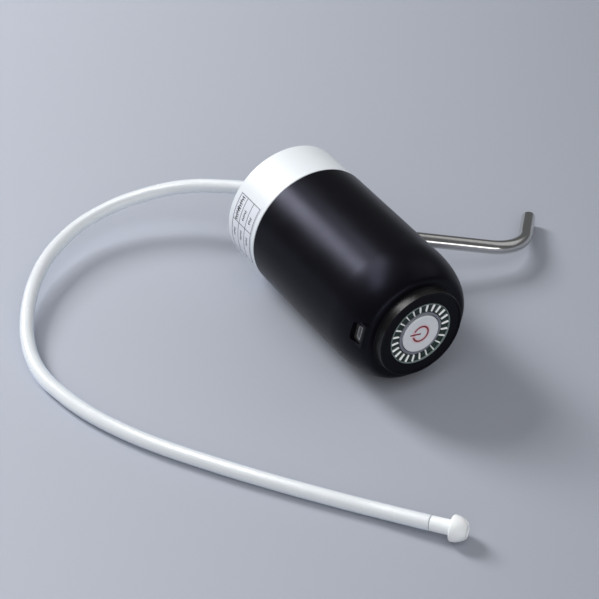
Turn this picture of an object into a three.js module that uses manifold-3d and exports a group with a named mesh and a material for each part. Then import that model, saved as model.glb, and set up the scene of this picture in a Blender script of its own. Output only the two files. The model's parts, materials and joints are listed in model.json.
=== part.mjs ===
// A rechargeable pump for large water bottles. It is modelled upright, collar down and button
// up, with the spout towards +X, and is laid on its side at the end. Lengths are in millimetres.
import * as THREE from 'three';
import { mergeVertices } from 'three/addons/utils/BufferGeometryUtils.js';
import Module from 'manifold-3d';

const wasm = await Module();
wasm.setup();

// Values that many pieces share.
const gap = 0.3; // between pieces that touch
const overrun = 1; // how far a cut reaches past the surface
const thinWall = 0.8; // ribs, cups and small sheet metal
const fineSides = 40; // round sides of the casing
const midSides = 18; // round sides of the parts inside
const fewSides = 12; // round sides of the fitting and the rubber cups
const lowSides = 8; // round sides of small parts
const tinySides = 6; // round sides of vents and wires
const domeSteps = 8; // steps along the dome of the casing
const crownSteps = 6; // steps along the crown of the hose's foot

// How the pump lies: the spout points this many degrees below level.
const spoutDroop = 13.5;

// The black casing.
const shell = {
  radius: 36.5,
  wall: 2,
  bottom: 26.65,
  domeStart: 101.6,
  domeHeight: 25.4,
  shoulder: 10.2,
  rimInset: 0.6,
  rimWidth: 1.2,
  rimHeight: 4.2,
  wellDepth: 1.2,
  bossRadius: 2.8,
  bossTop: 42,
  topBossRadius: 2.3,
};
const shellInner = shell.radius - shell.wall;
const domeTopRadius = shell.radius - shell.shoulder;
const rimRadius = domeTopRadius - shell.rimInset;
const domeTop = shell.domeStart + shell.domeHeight;
const rimTop = domeTop + shell.rimHeight;
const wellFloor = rimTop - shell.wellDepth;
const topPlateUnder = wellFloor - shell.wall;

// The white collar that slips over the neck of the bottle.
const collar = {
  step: 0.3,
  wall: 2,
  edge: 0.6,
  webThickness: 3,
  webTop: 25.35,
  spigotTop: 31,
  neckSpace: 3.6,
  neckWall: 2,
  neckRecess: 3,
  ribs: 12,
  ribStart: 15,
  ribDepth: 0.8,
  ribWidth: 2.4,
};
const collarRadius = shell.radius - collar.step;
const neckRadius = collarRadius - collar.wall - collar.neckSpace - collar.neckWall;
const collarTop = shell.bottom - gap;
const webUnder = collar.webTop - collar.webThickness;
const spigotRadius = shellInner - gap;

const gasket = { looseness: 0.4, width: 7.2, thickness: 1.7 };
const gasketOuter = neckRadius - gasket.looseness;
const gasketTop = webUnder - gap;
const label = { thickness: 0.2, bottom: 3.5, top: 23, from: 156.5, to: 213.5 };

// Screws that hold the collar and the casing together, hidden above the gasket.
const screw = { radius: 1.5, headRadius: 2.4, headHeight: 1.7, headSink: 0.2, length: 15 };
const caseScrews = { inset: 8.3, angles: [90, 210, 330] };
const caseScrewCircle = shellInner - caseScrews.inset;

// The hose fitting in the middle of the collar.
const nipple = {
  bore: 1.5,
  tip: 6,
  tipRadius: 2,
  barbRadius: 2.5,
  rootRadius: 2.2,
  barbPitch: 2.6,
  barbs: 4,
  flangeRadius: 5.5,
  flangeHeight: 2,
  neckRadius: 3.3,
  upperRadius: 2.9,
  top: 28.4,
};
const flangeTop = webUnder - gap;
const flangeUnder = flangeTop - nipple.flangeHeight;

// The clear suction hose, with its route from the fitting to its foot. X and Y are counted from
// the middle of the collar's mouth and Z from the floor, with the pump on its side.
const hose = { radius: 3.9, bore: 2.9, sides: 10, steps: 31 };
const hoseRoute = [
  [19.75, 0, 36.39], [12, 0, 36.39], [3, 0, 36.39], [-5, -0.5, 36.2], [-13.5, -2.6, 35.5],
  [-22.3, -6, 34], [-30.1, -10.6, 32.4], [-40.2, -18.2, 30], [-49.3, -25.9, 27.7],
  [-56.9, -34.6, 25.4], [-62.7, -44.1, 23], [-66.7, -55, 20.9], [-69.6, -66.3, 18.7],
  [-70.1, -78.6, 16.6], [-68.3, -92.2, 14.7], [-62.3, -107.2, 13], [-53.5, -121, 11.5],
  [-42.6, -132.7, 9.9], [-30.5, -142.4, 8.3], [-17.8, -150.2, 6.6], [-4.5, -156.3, 5.1],
  [10.6, -160.5, 4.2], [27.4, -161.7, 3.95], [41.3, -159.8, 3.95], [55.8, -156.5, 3.95],
  [69.2, -151.9, 3.95], [80.9, -146.9, 3.95], [97, -138.6, 3.95], [125.4, -120.6, 3.95],
  [151.7, -102.2, 3.95], [176.6, -83.6, 3.95], [188.5, -74.4, 4], [196, -68.8, 4.35],
  [202.9, -63.9, 4.85], [210.2, -58.7, 5.42], [214.3, -55.8, 5.73], [217.5, -53.4, 5.97],
];

// The white foot on the far end of the hose.
const foot = {
  plugLength: 6,
  plugRadius: 2.4,
  bore: 1.5,
  stemRadius: 3.85,
  stemLength: 10.2,
  headRadius: 6.65,
  headLength: 8,
  headEdge: 0.8,
  mouthRadius: 3.6,
  mouthDepth: 0.6,
  slotWidth: 1.6,
  slotDepth: 3,
};

// The stainless spout and the socket that it turns in. Places along its leg are counted from
// the point where the leg's centre line leaves the casing, outward.
const spout = {
  exitHeight: 43,
  rise: 25,
  radius: 4,
  bore: 3.4,
  leg: 80,
  bendAngle: 72,
  bendRadius: 26,
  tip: 39.5,
  inserted: 11.5,
  sides: 12,
  steps: 32,
};
const socket = {
  radius: 7.4,
  floorGap: 0.5,
  floor: 2.2,
  portRadius: 2.4,
  portBore: 1.3,
  portLength: 4.5,
  sink: 0.3,
  sealPlace: -5.9,
  grooveWidth: 2.2,
};
const seal = { sectionRadius: 0.62, looseness: 0.43 };
const socketBore = spout.radius + gap;
const sealRadius = spout.radius + seal.looseness + seal.sectionRadius;
const grooveRadius = sealRadius + seal.sectionRadius + gap;
const socketFloor = -spout.inserted - socket.floorGap;
const socketEnd = socketFloor - socket.floor;
const socketHoleRadius = socket.radius + gap;

// The chassis that carries the pump and the battery inside the casing.
const chassis = { thickness: 2, bedWall: 2, clampBottom: 64, clampTop: 80, clampWall: 1.8 };
const chassisRadius = spigotRadius - collar.wall - gap;
const chassisBottom = collar.webTop + gap;
const chassisTop = chassisBottom + chassis.thickness;
const trough = { wall: 1.75, top: 100, mouthOffset: 4.5, shelf: 1.9, bridge: 6 };

const battery = {
  radius: 9.15,
  length: 65,
  x: 8,
  wallSpace: 4.35,
  headroom: 4.55,
  tipRadius: 3,
  tipHeight: 0.7,
};
const batteryY = battery.radius + battery.wallSpace - shellInner;

// The diaphragm pump, all of it centred on this place beside the casing's own axis.
const pumpX = -8.5;
const pumpY = 3;
const pump = {
  radius: 13.4,
  wall: 1.4,
  coverBottom: 32,
  coverHeight: 5,
  coverFloor: 1.5,
  centreRadius: 5.4,
  centreWall: 1.2,
  valvePlate: 2,
  diaphragmBase: 1.2,
  housingTop: 57.2,
  housingPlate: 1.6,
  noseRadius: 3.6,
  screwCircle: 10.8,
  screwAngles: [30, 150, 270],
  screwRadius: 1,
  screwHead: 1.8,
  screwHeadHeight: 1.2,
  bossRadius: 2.2,
  bossTop: 52,
};
const softWall = 1.3; // wall of the short silicone tubes
const port = { radius: 2.9, bore: 1.5, length: 3.1 };
const outlet = { radius: 2.4, bore: 1.3, height: 34.5, reach: 17.5 };
const coverTop = pump.coverBottom + pump.coverHeight;
const plateBottom = coverTop + gap;
const plateTop = plateBottom + pump.valvePlate;
const diaphragmBottom = plateTop + gap;
const diaphragmTop = diaphragmBottom + pump.diaphragmBase;
const housingBottom = diaphragmTop + gap;

// Rubber cups, their stems and the plate that rocks them.
const cup = {
  circle: 7.2,
  angles: [90, 210, 330],
  radius: 4,
  height: 3.3,
  top: 0.8,
  stemRadius: 1.3,
  headRadius: 2.5,
  headHeight: 0.9,
  headBottom: 48.4,
};
const valve = {
  radius: 2.6,
  thickness: 0.7,
  stemRadius: 0.8,
  ventCircle: 1.7,
  ventRadius: 0.45,
  outletVents: [30, 150, 270],
};
const wobble = {
  height: 46.2,
  tilt: 6,
  thickness: 1.6,
  hubRadius: 2.2,
  hubTop: 50.7,
  coreRadius: 5.4,
  lobeRadius: 3.1,
  holeRadius: 2.1,
};
const crankPin = { radius: 0.75, bottom: 1.5, top: 7.4 };
const eccentric = { radius: 5, bottom: 51.6, top: 55 };

// The motor.
const motor = {
  radius: 12.2,
  wall: 0.8,
  bottom: 57.5,
  top: 88.5,
  shaftRadius: 1,
  shaftTop: 91.4,
  bushRadius: 3,
  bushLength: 3.4,
  magnetRadius: 11.1,
  magnetThickness: 1.7,
  magnetBottom: 62,
  magnetTop: 82,
  magnetSpread: 110,
  magnetAngles: [90, 270],
  armatureRadius: 8.9,
  armatureBottom: 63,
  armatureTop: 81,
  armatureSlot: 2,
  armatureCore: 3.4,
  armaturePoles: 3,
  commutatorRadius: 2.8,
  commutatorBottom: 83,
  commutatorTop: 86,
  capPlug: 1.7,
  capTop: 90.8,
};
const bushBore = motor.shaftRadius + gap;
const shaftBottom = wobble.height + crankPin.top + gap + gap;

// The round circuit board under the button, and what stands on it.
const board = {
  overhang: 1.9,
  depth: 11.45,
  thickness: 1.2,
  screwInset: 6.3,
  screwAngles: [0, 120, 240],
};
const boardRadius = domeTopRadius + board.overhang;
const boardScrewCircle = boardRadius - board.screwInset;
const boardTop = wellFloor - board.depth;
const boardUnder = boardTop - board.thickness;
const boardSeat = boardTop + gap;
const batteryBottom = boardUnder - battery.headroom - battery.length;
const boardScrew = { radius: 1.1, headRadius: 2, headHeight: 1.5, length: 8 };
const lamp = { inset: 2.95, count: 4, length: 3.5, width: 2.8, height: 1.2, turn: 45 };
const reflector = { overlap: 0.15, wall: 1.2 };

// The charging port, straight opposite the spout.
const usb = {
  width: 7.5,
  height: 2.6,
  depth: 5.5,
  wall: 0.4,
  inset: 5.5,
  standOut: 0.4,
  tongueWidth: 5.2,
  tongueThickness: 0.7,
  recessWidth: 10.5,
  recessHeight: 6.8,
  frameWall: 1.35,
  frameDepth: 2,
};
const usbHeight = boardSeat + usb.height / 2;
const usbFront = shell.radius - usb.inset;
const recessFloor = usbFront - usb.standOut;

// The lit ring and the button.
const lightRing = {
  inset: 6.55,
  width: 5.05,
  flangeWidth: 1.25,
  flangeDrop: 0.5,
  flangeHeight: 1.5,
  depth: 1.7,
  lipWidth: 0.75,
  lipRise: 0.2,
  bars: 20,
  barWidth: 2.3,
  barCrest: 0.7,
  barDrop: 0.1,
};
const ringOuter = rimRadius - shell.rimWidth - lightRing.inset;
const ringInner = ringOuter - lightRing.width;
const flangeRoof = topPlateUnder - lightRing.flangeDrop;
const ringBottom = flangeRoof - lightRing.flangeHeight;
const bezel = { width: 1.4, height: 5.2, drop: 0.1, bevel: 0.35 };
const bezelOuter = ringInner - gap;
const bezelInner = bezelOuter - bezel.width;
const bezelTop = wellFloor - bezel.drop;
const bezelBottom = bezelTop - bezel.height;
const button = {
  looseness: 0.35,
  edge: 0.6,
  rise: 0.25,
  skin: 1.5,
  wall: 1.2,
  lipWidth: 1.35,
  lipHeight: 1,
  stemRadius: 2.2,
};
const buttonRadius = bezelInner - button.looseness;
const buttonTop = wellFloor + button.rise;
const tact = { side: 6, height: 3.5, pinRadius: 1.75, pinRise: 1, pinLength: 1.95, wellDepth: 1.75 };
const pinTop = boardSeat + tact.height + tact.pinRise;
const wire = { radius: 0.7, steps: 8, lead: 8 };
const terminals = { spread: 6, boardX: 3, boardNear: 3, boardFar: 6 };
const sideWire = { shift: 4, lead: 6 };

// Colours and finishes.
const finishes = {
  blackPlastic: { color: 0x161719, roughness: 0.42, metalness: 0 },
  whitePlastic: { color: 0xe9ecf0, roughness: 0.4, metalness: 0 },
  paper: { color: 0xe4e6ea, roughness: 0.6, metalness: 0 },
  clearHose: { color: 0xc9d8e6, roughness: 0.2, metalness: 0 },
  silicone: { color: 0xd8dadc, roughness: 0.5, metalness: 0 },
  blackRubber: { color: 0x202224, roughness: 0.8, metalness: 0 },
  steel: { color: 0xb9b6b0, roughness: 0.25, metalness: 1 },
  plainSteel: { color: 0x9a9da1, roughness: 0.4, metalness: 1 },
  copper: { color: 0xb87345, roughness: 0.4, metalness: 1 },
  brass: { color: 0xb89a55, roughness: 0.35, metalness: 1 },
  magnet: { color: 0x3b3b3d, roughness: 0.7, metalness: 0 },
  greyPlastic: { color: 0x8d9094, roughness: 0.5, metalness: 0 },
  buttonGrey: { color: 0xc3c5ce, roughness: 0.35, metalness: 0.2 },
  bezelGrey: { color: 0x808590, roughness: 0.3, metalness: 0.6 },
  clearPlastic: { color: 0xc8cfd2, roughness: 0.08, metalness: 0 },
  greenBoard: { color: 0x1d5b3a, roughness: 0.5, metalness: 0 },
  blueWrap: { color: 0x2f6fb0, roughness: 0.35, metalness: 0 },
  redWire: { color: 0xa32025, roughness: 0.5, metalness: 0 },
  blackWire: { color: 0x1b1b1d, roughness: 0.5, metalness: 0 },
};

const degrees = THREE.MathUtils.degToRad;

// A closed geometry as a solid for joining and cutting. One that is inside out is turned round.
function toSolid(geometry) {
  const bare = new THREE.BufferGeometry();
  bare.setAttribute('position', geometry.getAttribute('position'));
  bare.setIndex(geometry.index);
  const merged = mergeVertices(bare);
  const place = merged.getAttribute('position');
  const [a, b, c] = [new THREE.Vector3(), new THREE.Vector3(), new THREE.Vector3()];
  const triangles = [];
  let volume = 0;
  for (let i = 0; i < merged.index.count; i += 3) {
    const corners = [0, 1, 2].map((k) => merged.index.getX(i + k));
    if (new Set(corners).size < corners.length) continue;
    a.fromBufferAttribute(place, corners[0]);
    b.fromBufferAttribute(place, corners[1]);
    c.fromBufferAttribute(place, corners[2]);
    volume += a.dot(b.cross(c));
    triangles.push(corners);
  }
  const facing = volume < 0 ? triangles.map((corners) => corners.reverse()) : triangles;
  const mesh = new wasm.Mesh({
    numProp: 3,
    vertProperties: Float32Array.from(place.array),
    triVerts: Uint32Array.from(facing.flat()),
  });
  return new wasm.Manifold(mesh);
}

function toGeometry(solid) {
  const mesh = solid.getMesh();
  const geometry = new THREE.BufferGeometry();
  geometry.setAttribute('position', new THREE.BufferAttribute(Float32Array.from(mesh.vertProperties), 3));
  geometry.setIndex(new THREE.BufferAttribute(Uint32Array.from(mesh.triVerts), 1));
  geometry.computeVertexNormals();
  return geometry;
}

function join(...geometries) {
  return toGeometry(geometries.map(toSolid).reduce((whole, next) => whole.add(next)));
}

function cut(geometry, ...tools) {
  return toGeometry(tools.map(toSolid).reduce((whole, next) => whole.subtract(next), toSolid(geometry)));
}

function common(first, second) {
  return toGeometry(toSolid(first).intersect(toSolid(second)));
}

// A turned piece. Its outline is a list of radius and height, closed on the axis or on itself.
function turned(outline, sides) {
  const points = outline.map(([radius, height]) => new THREE.Vector2(radius, height));
  const onAxis = points[0].x === 0 && points.at(-1).x === 0;
  if (!onAxis) points.push(points[0].clone());
  return new THREE.LatheGeometry(points, sides).rotateX(Math.PI / 2);
}

function rod(radius, bottom, top, sides) {
  const geometry = new THREE.CylinderGeometry(radius, radius, top - bottom, sides);
  return geometry.rotateX(Math.PI / 2).translate(0, 0, (bottom + top) / 2);
}

function pipe(innerRadius, outerRadius, bottom, top, sides) {
  const outline = [[innerRadius, bottom], [outerRadius, bottom], [outerRadius, top], [innerRadius, top]];
  return turned(outline, sides);
}

function block(x0, x1, y0, y1, z0, z1) {
  const geometry = new THREE.BoxGeometry(x1 - x0, y1 - y0, z1 - z0);
  return geometry.translate((x0 + x1) / 2, (y0 + y1) / 2, (z0 + z1) / 2);
}

// A slice of a ring between two angles in degrees.
function sector(innerRadius, outerRadius, from, to, bottom, top) {
  const shape = new THREE.Shape();
  shape.absarc(0, 0, outerRadius, degrees(from), degrees(to), false);
  shape.absarc(0, 0, innerRadius, degrees(to), degrees(from), true);
  const options = { depth: top - bottom, bevelEnabled: false, curveSegments: lowSides };
  return new THREE.ExtrudeGeometry(shape, options).translate(0, 0, bottom);
}

// A tube along a curve, hollow where it is given a bore.
function tube(path, radius, bore, sides, steps) {
  const circle = (r) => Array.from({ length: sides }, (_, i) => {
    const turn = (2 * Math.PI * i) / sides;
    return new THREE.Vector2(r * Math.cos(turn), r * Math.sin(turn));
  });
  const shape = new THREE.Shape(circle(radius));
  if (bore > 0) shape.holes.push(new THREE.Path(circle(bore)));
  return new THREE.ExtrudeGeometry(shape, { steps, extrudePath: path, bevelEnabled: false });
}

// The same tool at several places round a circle.
function around(circle, angles, make) {
  return angles.map((angle) => make(angle).translate(
    circle * Math.cos(degrees(angle)),
    circle * Math.sin(degrees(angle)),
    0,
  ));
}

function evenly(count, start = 0) {
  return Array.from({ length: count }, (_, i) => start + (360 * i) / count);
}

const upright = new THREE.Group();
const laid = new THREE.Group();
const cordPieces = [];

function piece(name, geometry, finish, parent = upright) {
  const mesh = new THREE.Mesh(geometry, new THREE.MeshStandardMaterial(finishes[finish]));
  mesh.name = name;
  parent.add(mesh);
  return mesh;
}

// A screw pointing up, with its head's lower face at the given height.
function screwShape(size, headBottom) {
  const shoulder = headBottom + size.headHeight;
  const outline = [
    [0, headBottom], [size.headRadius, headBottom], [size.headRadius, shoulder],
    [size.radius, shoulder], [size.radius, shoulder + size.length], [0, shoulder + size.length],
  ];
  return turned(outline, lowSides);
}

// The leg of the spout: a frame whose Z runs outward along it.
function alongLeg(geometry) {
  return geometry.rotateY(Math.PI / 2 - degrees(spout.rise)).translate(shell.radius, 0, spout.exitHeight);
}

function domeOutline(inset) {
  const outline = [];
  for (let i = 0; i <= domeSteps; i += 1) {
    const turn = (Math.PI / 2) * (i / domeSteps);
    const radius = domeTopRadius + (shell.radius - domeTopRadius) * Math.cos(turn) - inset;
    outline.push([radius, shell.domeStart + (shell.domeHeight - inset) * Math.sin(turn)]);
  }
  return outline;
}

// The casing is turned so that one of its flats lies on the floor.
const flatAngle = 360 / fineSides;
const lowestAngle = 270 + spoutDroop;
const flatTurn = (lowestAngle % flatAngle) - flatAngle / 2;
const axisHeight = shell.radius * Math.cos(Math.PI / fineSides);

function outerShell() {
  const rimInner = rimRadius - shell.rimWidth;
  const holeRadius = ringOuter + gap;
  const rimInside = rimRadius - shell.wall;
  const outerOutline = [[shell.radius, shell.bottom], ...domeOutline(0)];
  const innerOutline = [[shellInner, shell.bottom], ...domeOutline(shell.wall)];
  const innerTop = innerOutline.at(-1)[1];
  const outline = [
    ...outerOutline,
    [rimRadius, domeTop], [rimRadius, rimTop], [rimInner, rimTop],
    [rimInner, wellFloor], [holeRadius, wellFloor], [holeRadius, topPlateUnder],
    [rimInside, topPlateUnder], [rimInside, innerTop],
    ...innerOutline.reverse(),
  ];
  const casing = turned(outline, fineSides).rotateZ(degrees(flatTurn));
  const solidOutline = [[0, shell.bottom], ...outerOutline, [0, domeTop]];
  const solid = turned(solidOutline, fineSides).rotateZ(degrees(flatTurn));
  const frameX = recessFloor - usb.frameDepth;
  const frameY = usb.recessWidth / 2 + usb.frameWall;
  const frameZ = usb.recessHeight / 2 + usb.frameWall;
  const frame = block(-shell.radius, -frameX, -frameY, frameY, usbHeight - frameZ, usbHeight + frameZ);
  const socketHole = alongLeg(rod(socketHoleRadius, socketEnd, shell.wall + socket.radius, midSides));
  const bosses = around(caseScrewCircle, caseScrews.angles, caseBoss);
  const topBosses = around(boardScrewCircle, board.screwAngles, () => (
    rod(shell.topBossRadius, boardSeat, topPlateUnder + shell.wall / 2, lowSides)
  ));
  const screwHoles = around(caseScrewCircle, caseScrews.angles, () => (
    rod(screw.radius + gap, 0, shell.bossTop - shell.wall, lowSides)
  ));
  const boardHoles = around(boardScrewCircle, board.screwAngles, () => (
    rod(boardScrew.radius + gap, boardUnder, topPlateUnder - shell.wall, lowSides)
  ));
  const joined = join(casing, common(frame, solid), ...topBosses, ...bosses);
  return cut(joined, socketHole, pumpRoom(), ...usbOpenings(), ...screwHoles, ...boardHoles);
}

// The room that the diaphragm pump needs, kept free by the casing and the chassis.
function pumpRoom() {
  const room = rod(pump.radius + gap, pump.coverBottom - gap, pump.housingTop + gap, midSides);
  return room.translate(pumpX, pumpY, 0);
}

// A screw boss with the rib that ties it to the casing's wall.
function caseBoss(angle) {
  const bottom = chassisTop + gap;
  const ribBottom = collar.spigotTop + gap;
  const reach = shellInner + shell.wall / 2 - caseScrewCircle;
  const rib = block(0, reach, -shell.wall, shell.wall, ribBottom, shell.bossTop);
  return join(rod(shell.bossRadius, bottom, shell.bossTop, lowSides), rib.rotateZ(degrees(angle)));
}

function usbOpenings() {
  const halfWidth = usb.recessWidth / 2;
  const halfHeight = usb.recessHeight / 2;
  const slotY = usb.width / 2 + gap;
  const slotZ = usb.height / 2 + gap;
  const back = recessFloor - usb.frameDepth - overrun;
  const outside = shell.radius + overrun;
  return [
    block(-outside, -recessFloor, -halfWidth, halfWidth, usbHeight - halfHeight, usbHeight + halfHeight),
    block(-outside, -back, -slotY, slotY, usbHeight - slotZ, usbHeight + slotZ),
  ];
}

function bottleCollar() {
  const inner = collarRadius - collar.wall;
  const spigotInner = spigotRadius - collar.wall;
  const neckOuter = neckRadius + collar.neckWall;
  const outline = [
    [collarRadius - collar.edge, 0], [collarRadius, collar.edge], [collarRadius, collarTop],
    [spigotRadius, collarTop], [spigotRadius, collar.spigotTop], [spigotInner, collar.spigotTop],
    [spigotInner, collar.webTop], [nipple.neckRadius + gap, collar.webTop],
    [nipple.neckRadius + gap, webUnder], [neckRadius, webUnder],
    [neckRadius, collar.neckRecess], [neckOuter, collar.neckRecess],
    [neckOuter, webUnder], [inner, webUnder], [inner, 0],
  ];
  const ribs = evenly(collar.ribs, collar.ribStart).map((angle) => block(
    neckRadius - collar.ribDepth, neckRadius + collar.neckWall / 2,
    -collar.ribWidth / 2, collar.ribWidth / 2, collar.neckRecess, gasketTop - gasket.thickness - gap,
  ).rotateZ(degrees(angle)));
  const holes = around(caseScrewCircle, caseScrews.angles, () => (
    rod(screw.radius + gap, 0, collar.spigotTop, lowSides)
  ));
  const headDepth = screw.headSink + screw.headHeight + gap;
  const sinks = around(caseScrewCircle, caseScrews.angles, () => (
    rod(screw.headRadius + gap, webUnder - overrun, webUnder + headDepth, lowSides)
  ));
  return cut(join(turned(outline, fineSides), ...ribs), ...holes, ...sinks);
}

function inletNipple() {
  const outline = [[nipple.bore, nipple.tip], [nipple.tipRadius, nipple.tip]];
  for (let i = 1; i <= nipple.barbs; i += 1) {
    const height = nipple.tip + nipple.barbPitch * i;
    outline.push([nipple.barbRadius, height], [nipple.rootRadius, height]);
  }
  outline.push(
    [nipple.rootRadius, flangeUnder], [nipple.flangeRadius, flangeUnder],
    [nipple.flangeRadius, flangeTop], [nipple.neckRadius, flangeTop],
    [nipple.neckRadius, collar.webTop + gap], [nipple.upperRadius, collar.webTop + gap],
    [nipple.upperRadius, nipple.top], [nipple.bore, nipple.top],
  );
  return turned(outline, fewSides);
}

function hosePath() {
  const points = hoseRoute.map(([x, y, z]) => new THREE.Vector3(x, y, z));
  return new THREE.CatmullRomCurve3(points, false, 'centripetal');
}

// The foot is turned about Z with the hose's end at zero, then laid along the hose.
function hoseFoot() {
  const stemStart = gap;
  const headStart = stemStart + foot.stemLength;
  const headEnd = headStart + foot.headLength;
  const mouthFloor = headEnd - foot.mouthDepth;
  const crown = headStart + foot.headEdge;
  const outline = [
    [foot.bore, stemStart - foot.plugLength], [foot.plugRadius, stemStart - foot.plugLength],
    [foot.plugRadius, stemStart], [foot.stemRadius, stemStart], [foot.stemRadius, headStart],
    [foot.headRadius - foot.headEdge / 2, headStart],
  ];
  const fullTurn = Math.acos(foot.mouthRadius / foot.headRadius);
  for (let i = 0; i <= crownSteps; i += 1) {
    const turn = fullTurn * (i / crownSteps);
    const rise = Math.sin(turn) / Math.sin(fullTurn);
    outline.push([foot.headRadius * Math.cos(turn), crown + (headEnd - crown) * rise]);
  }
  const mouthInner = foot.mouthRadius - thinWall;
  outline.push([mouthInner, headEnd], [mouthInner, mouthFloor], [foot.bore, mouthFloor]);
  const slot = block(
    -foot.headRadius, foot.headRadius, -foot.slotWidth / 2, foot.slotWidth / 2,
    headEnd - foot.slotDepth, headEnd + overrun,
  );
  const body = cut(turned(outline, midSides), slot);
  const points = hoseRoute.map(([x, y, z]) => new THREE.Vector3(x, y, z));
  const end = points.at(-1);
  const direction = end.clone().sub(points.at(-2)).normalize();
  const turnTo = new THREE.Quaternion().setFromUnitVectors(new THREE.Vector3(0, 0, 1), direction);
  return body.applyQuaternion(turnTo).translate(end.x, end.y, end.z);
}

function spoutPath() {
  const half = degrees(spout.bendAngle / 2);
  const tangent = spout.bendRadius * Math.tan(half);
  const turn = degrees(spout.bendAngle);
  const tipDirection = new THREE.Vector3(Math.sin(turn), 0, Math.cos(turn));
  const corner = new THREE.Vector3(0, 0, spout.leg);
  const bendStart = new THREE.Vector3(0, 0, spout.leg - tangent);
  const bendEnd = corner.clone().addScaledVector(tipDirection, tangent);
  const end = corner.clone().addScaledVector(tipDirection, spout.tip);
  const path = new THREE.CurvePath();
  path.add(new THREE.LineCurve3(new THREE.Vector3(0, 0, -spout.inserted), bendStart));
  path.add(new BendCurve(bendStart, spout.bendRadius, turn));
  path.add(new THREE.LineCurve3(bendEnd, end));
  return path;
}

// A round bend that starts along Z and turns towards X.
class BendCurve extends THREE.Curve {
  constructor(start, radius, turn) {
    super();
    this.start = start;
    this.radius = radius;
    this.turn = turn;
  }

  getPoint(share, target = new THREE.Vector3()) {
    const angle = this.turn * share;
    const across = this.radius * (1 - Math.cos(angle));
    return target.set(across, 0, this.radius * Math.sin(angle)).add(this.start);
  }
}

// The leg's own X points down, so the tip bends towards the collar.
function spoutTube() {
  return alongLeg(tube(spoutPath(), spout.radius, spout.bore, spout.sides, spout.steps));
}

function spoutSocket() {
  const grooveHalf = socket.grooveWidth / 2;
  const outline = [
    [socket.portBore, socketEnd - socket.portLength], [socket.portRadius, socketEnd - socket.portLength],
    [socket.portRadius, socketEnd], [socket.radius, socketEnd], [socket.radius, shell.wall + socket.radius],
    [socketBore, shell.wall + socket.radius], [socketBore, socket.sealPlace + grooveHalf],
    [grooveRadius, socket.sealPlace + grooveHalf], [grooveRadius, socket.sealPlace - grooveHalf],
    [socketBore, socket.sealPlace - grooveHalf], [socketBore, socketFloor],
    [socket.portBore, socketFloor],
  ];
  const inside = rod(shell.radius - socket.sink, 0, domeTop, fineSides).rotateZ(degrees(flatTurn));
  return common(alongLeg(turned(outline, midSides)), inside);
}

function spoutSeal() {
  const ring = new THREE.TorusGeometry(sealRadius, seal.sectionRadius, tinySides, midSides);
  return alongLeg(ring.translate(0, 0, socket.sealPlace));
}

function innerFrame() {
  const troughInner = battery.radius + gap;
  const troughOuter = troughInner + trough.wall;
  const clampInner = motor.radius + gap;
  const span = new THREE.Vector2(battery.x - pumpX, batteryY - pumpY);
  const facing = span.angle();
  const clampOuter = clampInner + chassis.clampWall;
  const bedTop = pump.coverBottom - gap;
  const bed = pipe(pump.radius - chassis.bedWall, pump.radius, chassisBottom, bedTop, midSides);
  const clamp = pipe(clampInner, clampOuter, chassis.clampBottom, chassis.clampTop, midSides);
  const bridge = block(
    0, span.length(), -trough.bridge / 2, trough.bridge / 2, chassis.clampBottom, chassis.clampTop,
  ).rotateZ(facing);
  const shelfTop = batteryBottom - gap;
  const cradle = join(
    pipe(troughInner, troughOuter, chassisBottom, trough.top, midSides),
    rod(troughInner + trough.wall / 2, shelfTop - trough.shelf, shelfTop, midSides),
  ).translate(battery.x, batteryY, 0);
  const mouth = block(
    trough.mouthOffset, troughOuter + overrun, -troughOuter, troughOuter,
    shelfTop, trough.top + overrun,
  ).rotateZ(facing).translate(battery.x, batteryY, 0);
  const batteryRoom = rod(troughInner, shelfTop, trough.top + overrun, midSides);
  const motorRoom = rod(clampInner, chassis.clampBottom - overrun, chassis.clampTop + overrun, midSides);
  const floor = rod(chassisRadius, chassisBottom, chassisTop, fineSides);
  const frame = join(
    floor, bed.translate(pumpX, pumpY, 0), clamp.translate(pumpX, pumpY, 0),
    bridge.translate(pumpX, pumpY, 0), cradle,
  );
  const inletWay = rod(port.radius + softWall + gap + gap, 0, pump.coverBottom, midSides);
  const screwWays = around(caseScrewCircle, caseScrews.angles, () => (
    rod(screw.radius + gap, 0, shell.bossTop, lowSides)
  ));
  const spigotRoom = pipe(
    chassisRadius, shell.radius, chassisBottom - overrun, collar.spigotTop + gap, fineSides,
  );
  const headWays = around(pump.screwCircle, pump.screwAngles, () => (
    rod(pump.screwHead + gap, chassisTop, pump.coverBottom, lowSides)
  )).map((way) => way.translate(pumpX, pumpY, 0));
  return cut(
    frame, spigotRoom, mouth, ...headWays, batteryRoom.translate(battery.x, batteryY, 0),
    motorRoom.translate(pumpX, pumpY, 0), pumpRoom(), inletWay, ...screwWays,
  );
}

// The short soft tube from the hose fitting up to the pump.
function inletTube() {
  const inner = port.radius + gap;
  return pipe(inner, inner + softWall, collar.webTop + gap + gap, pump.coverBottom - gap, midSides);
}

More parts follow.
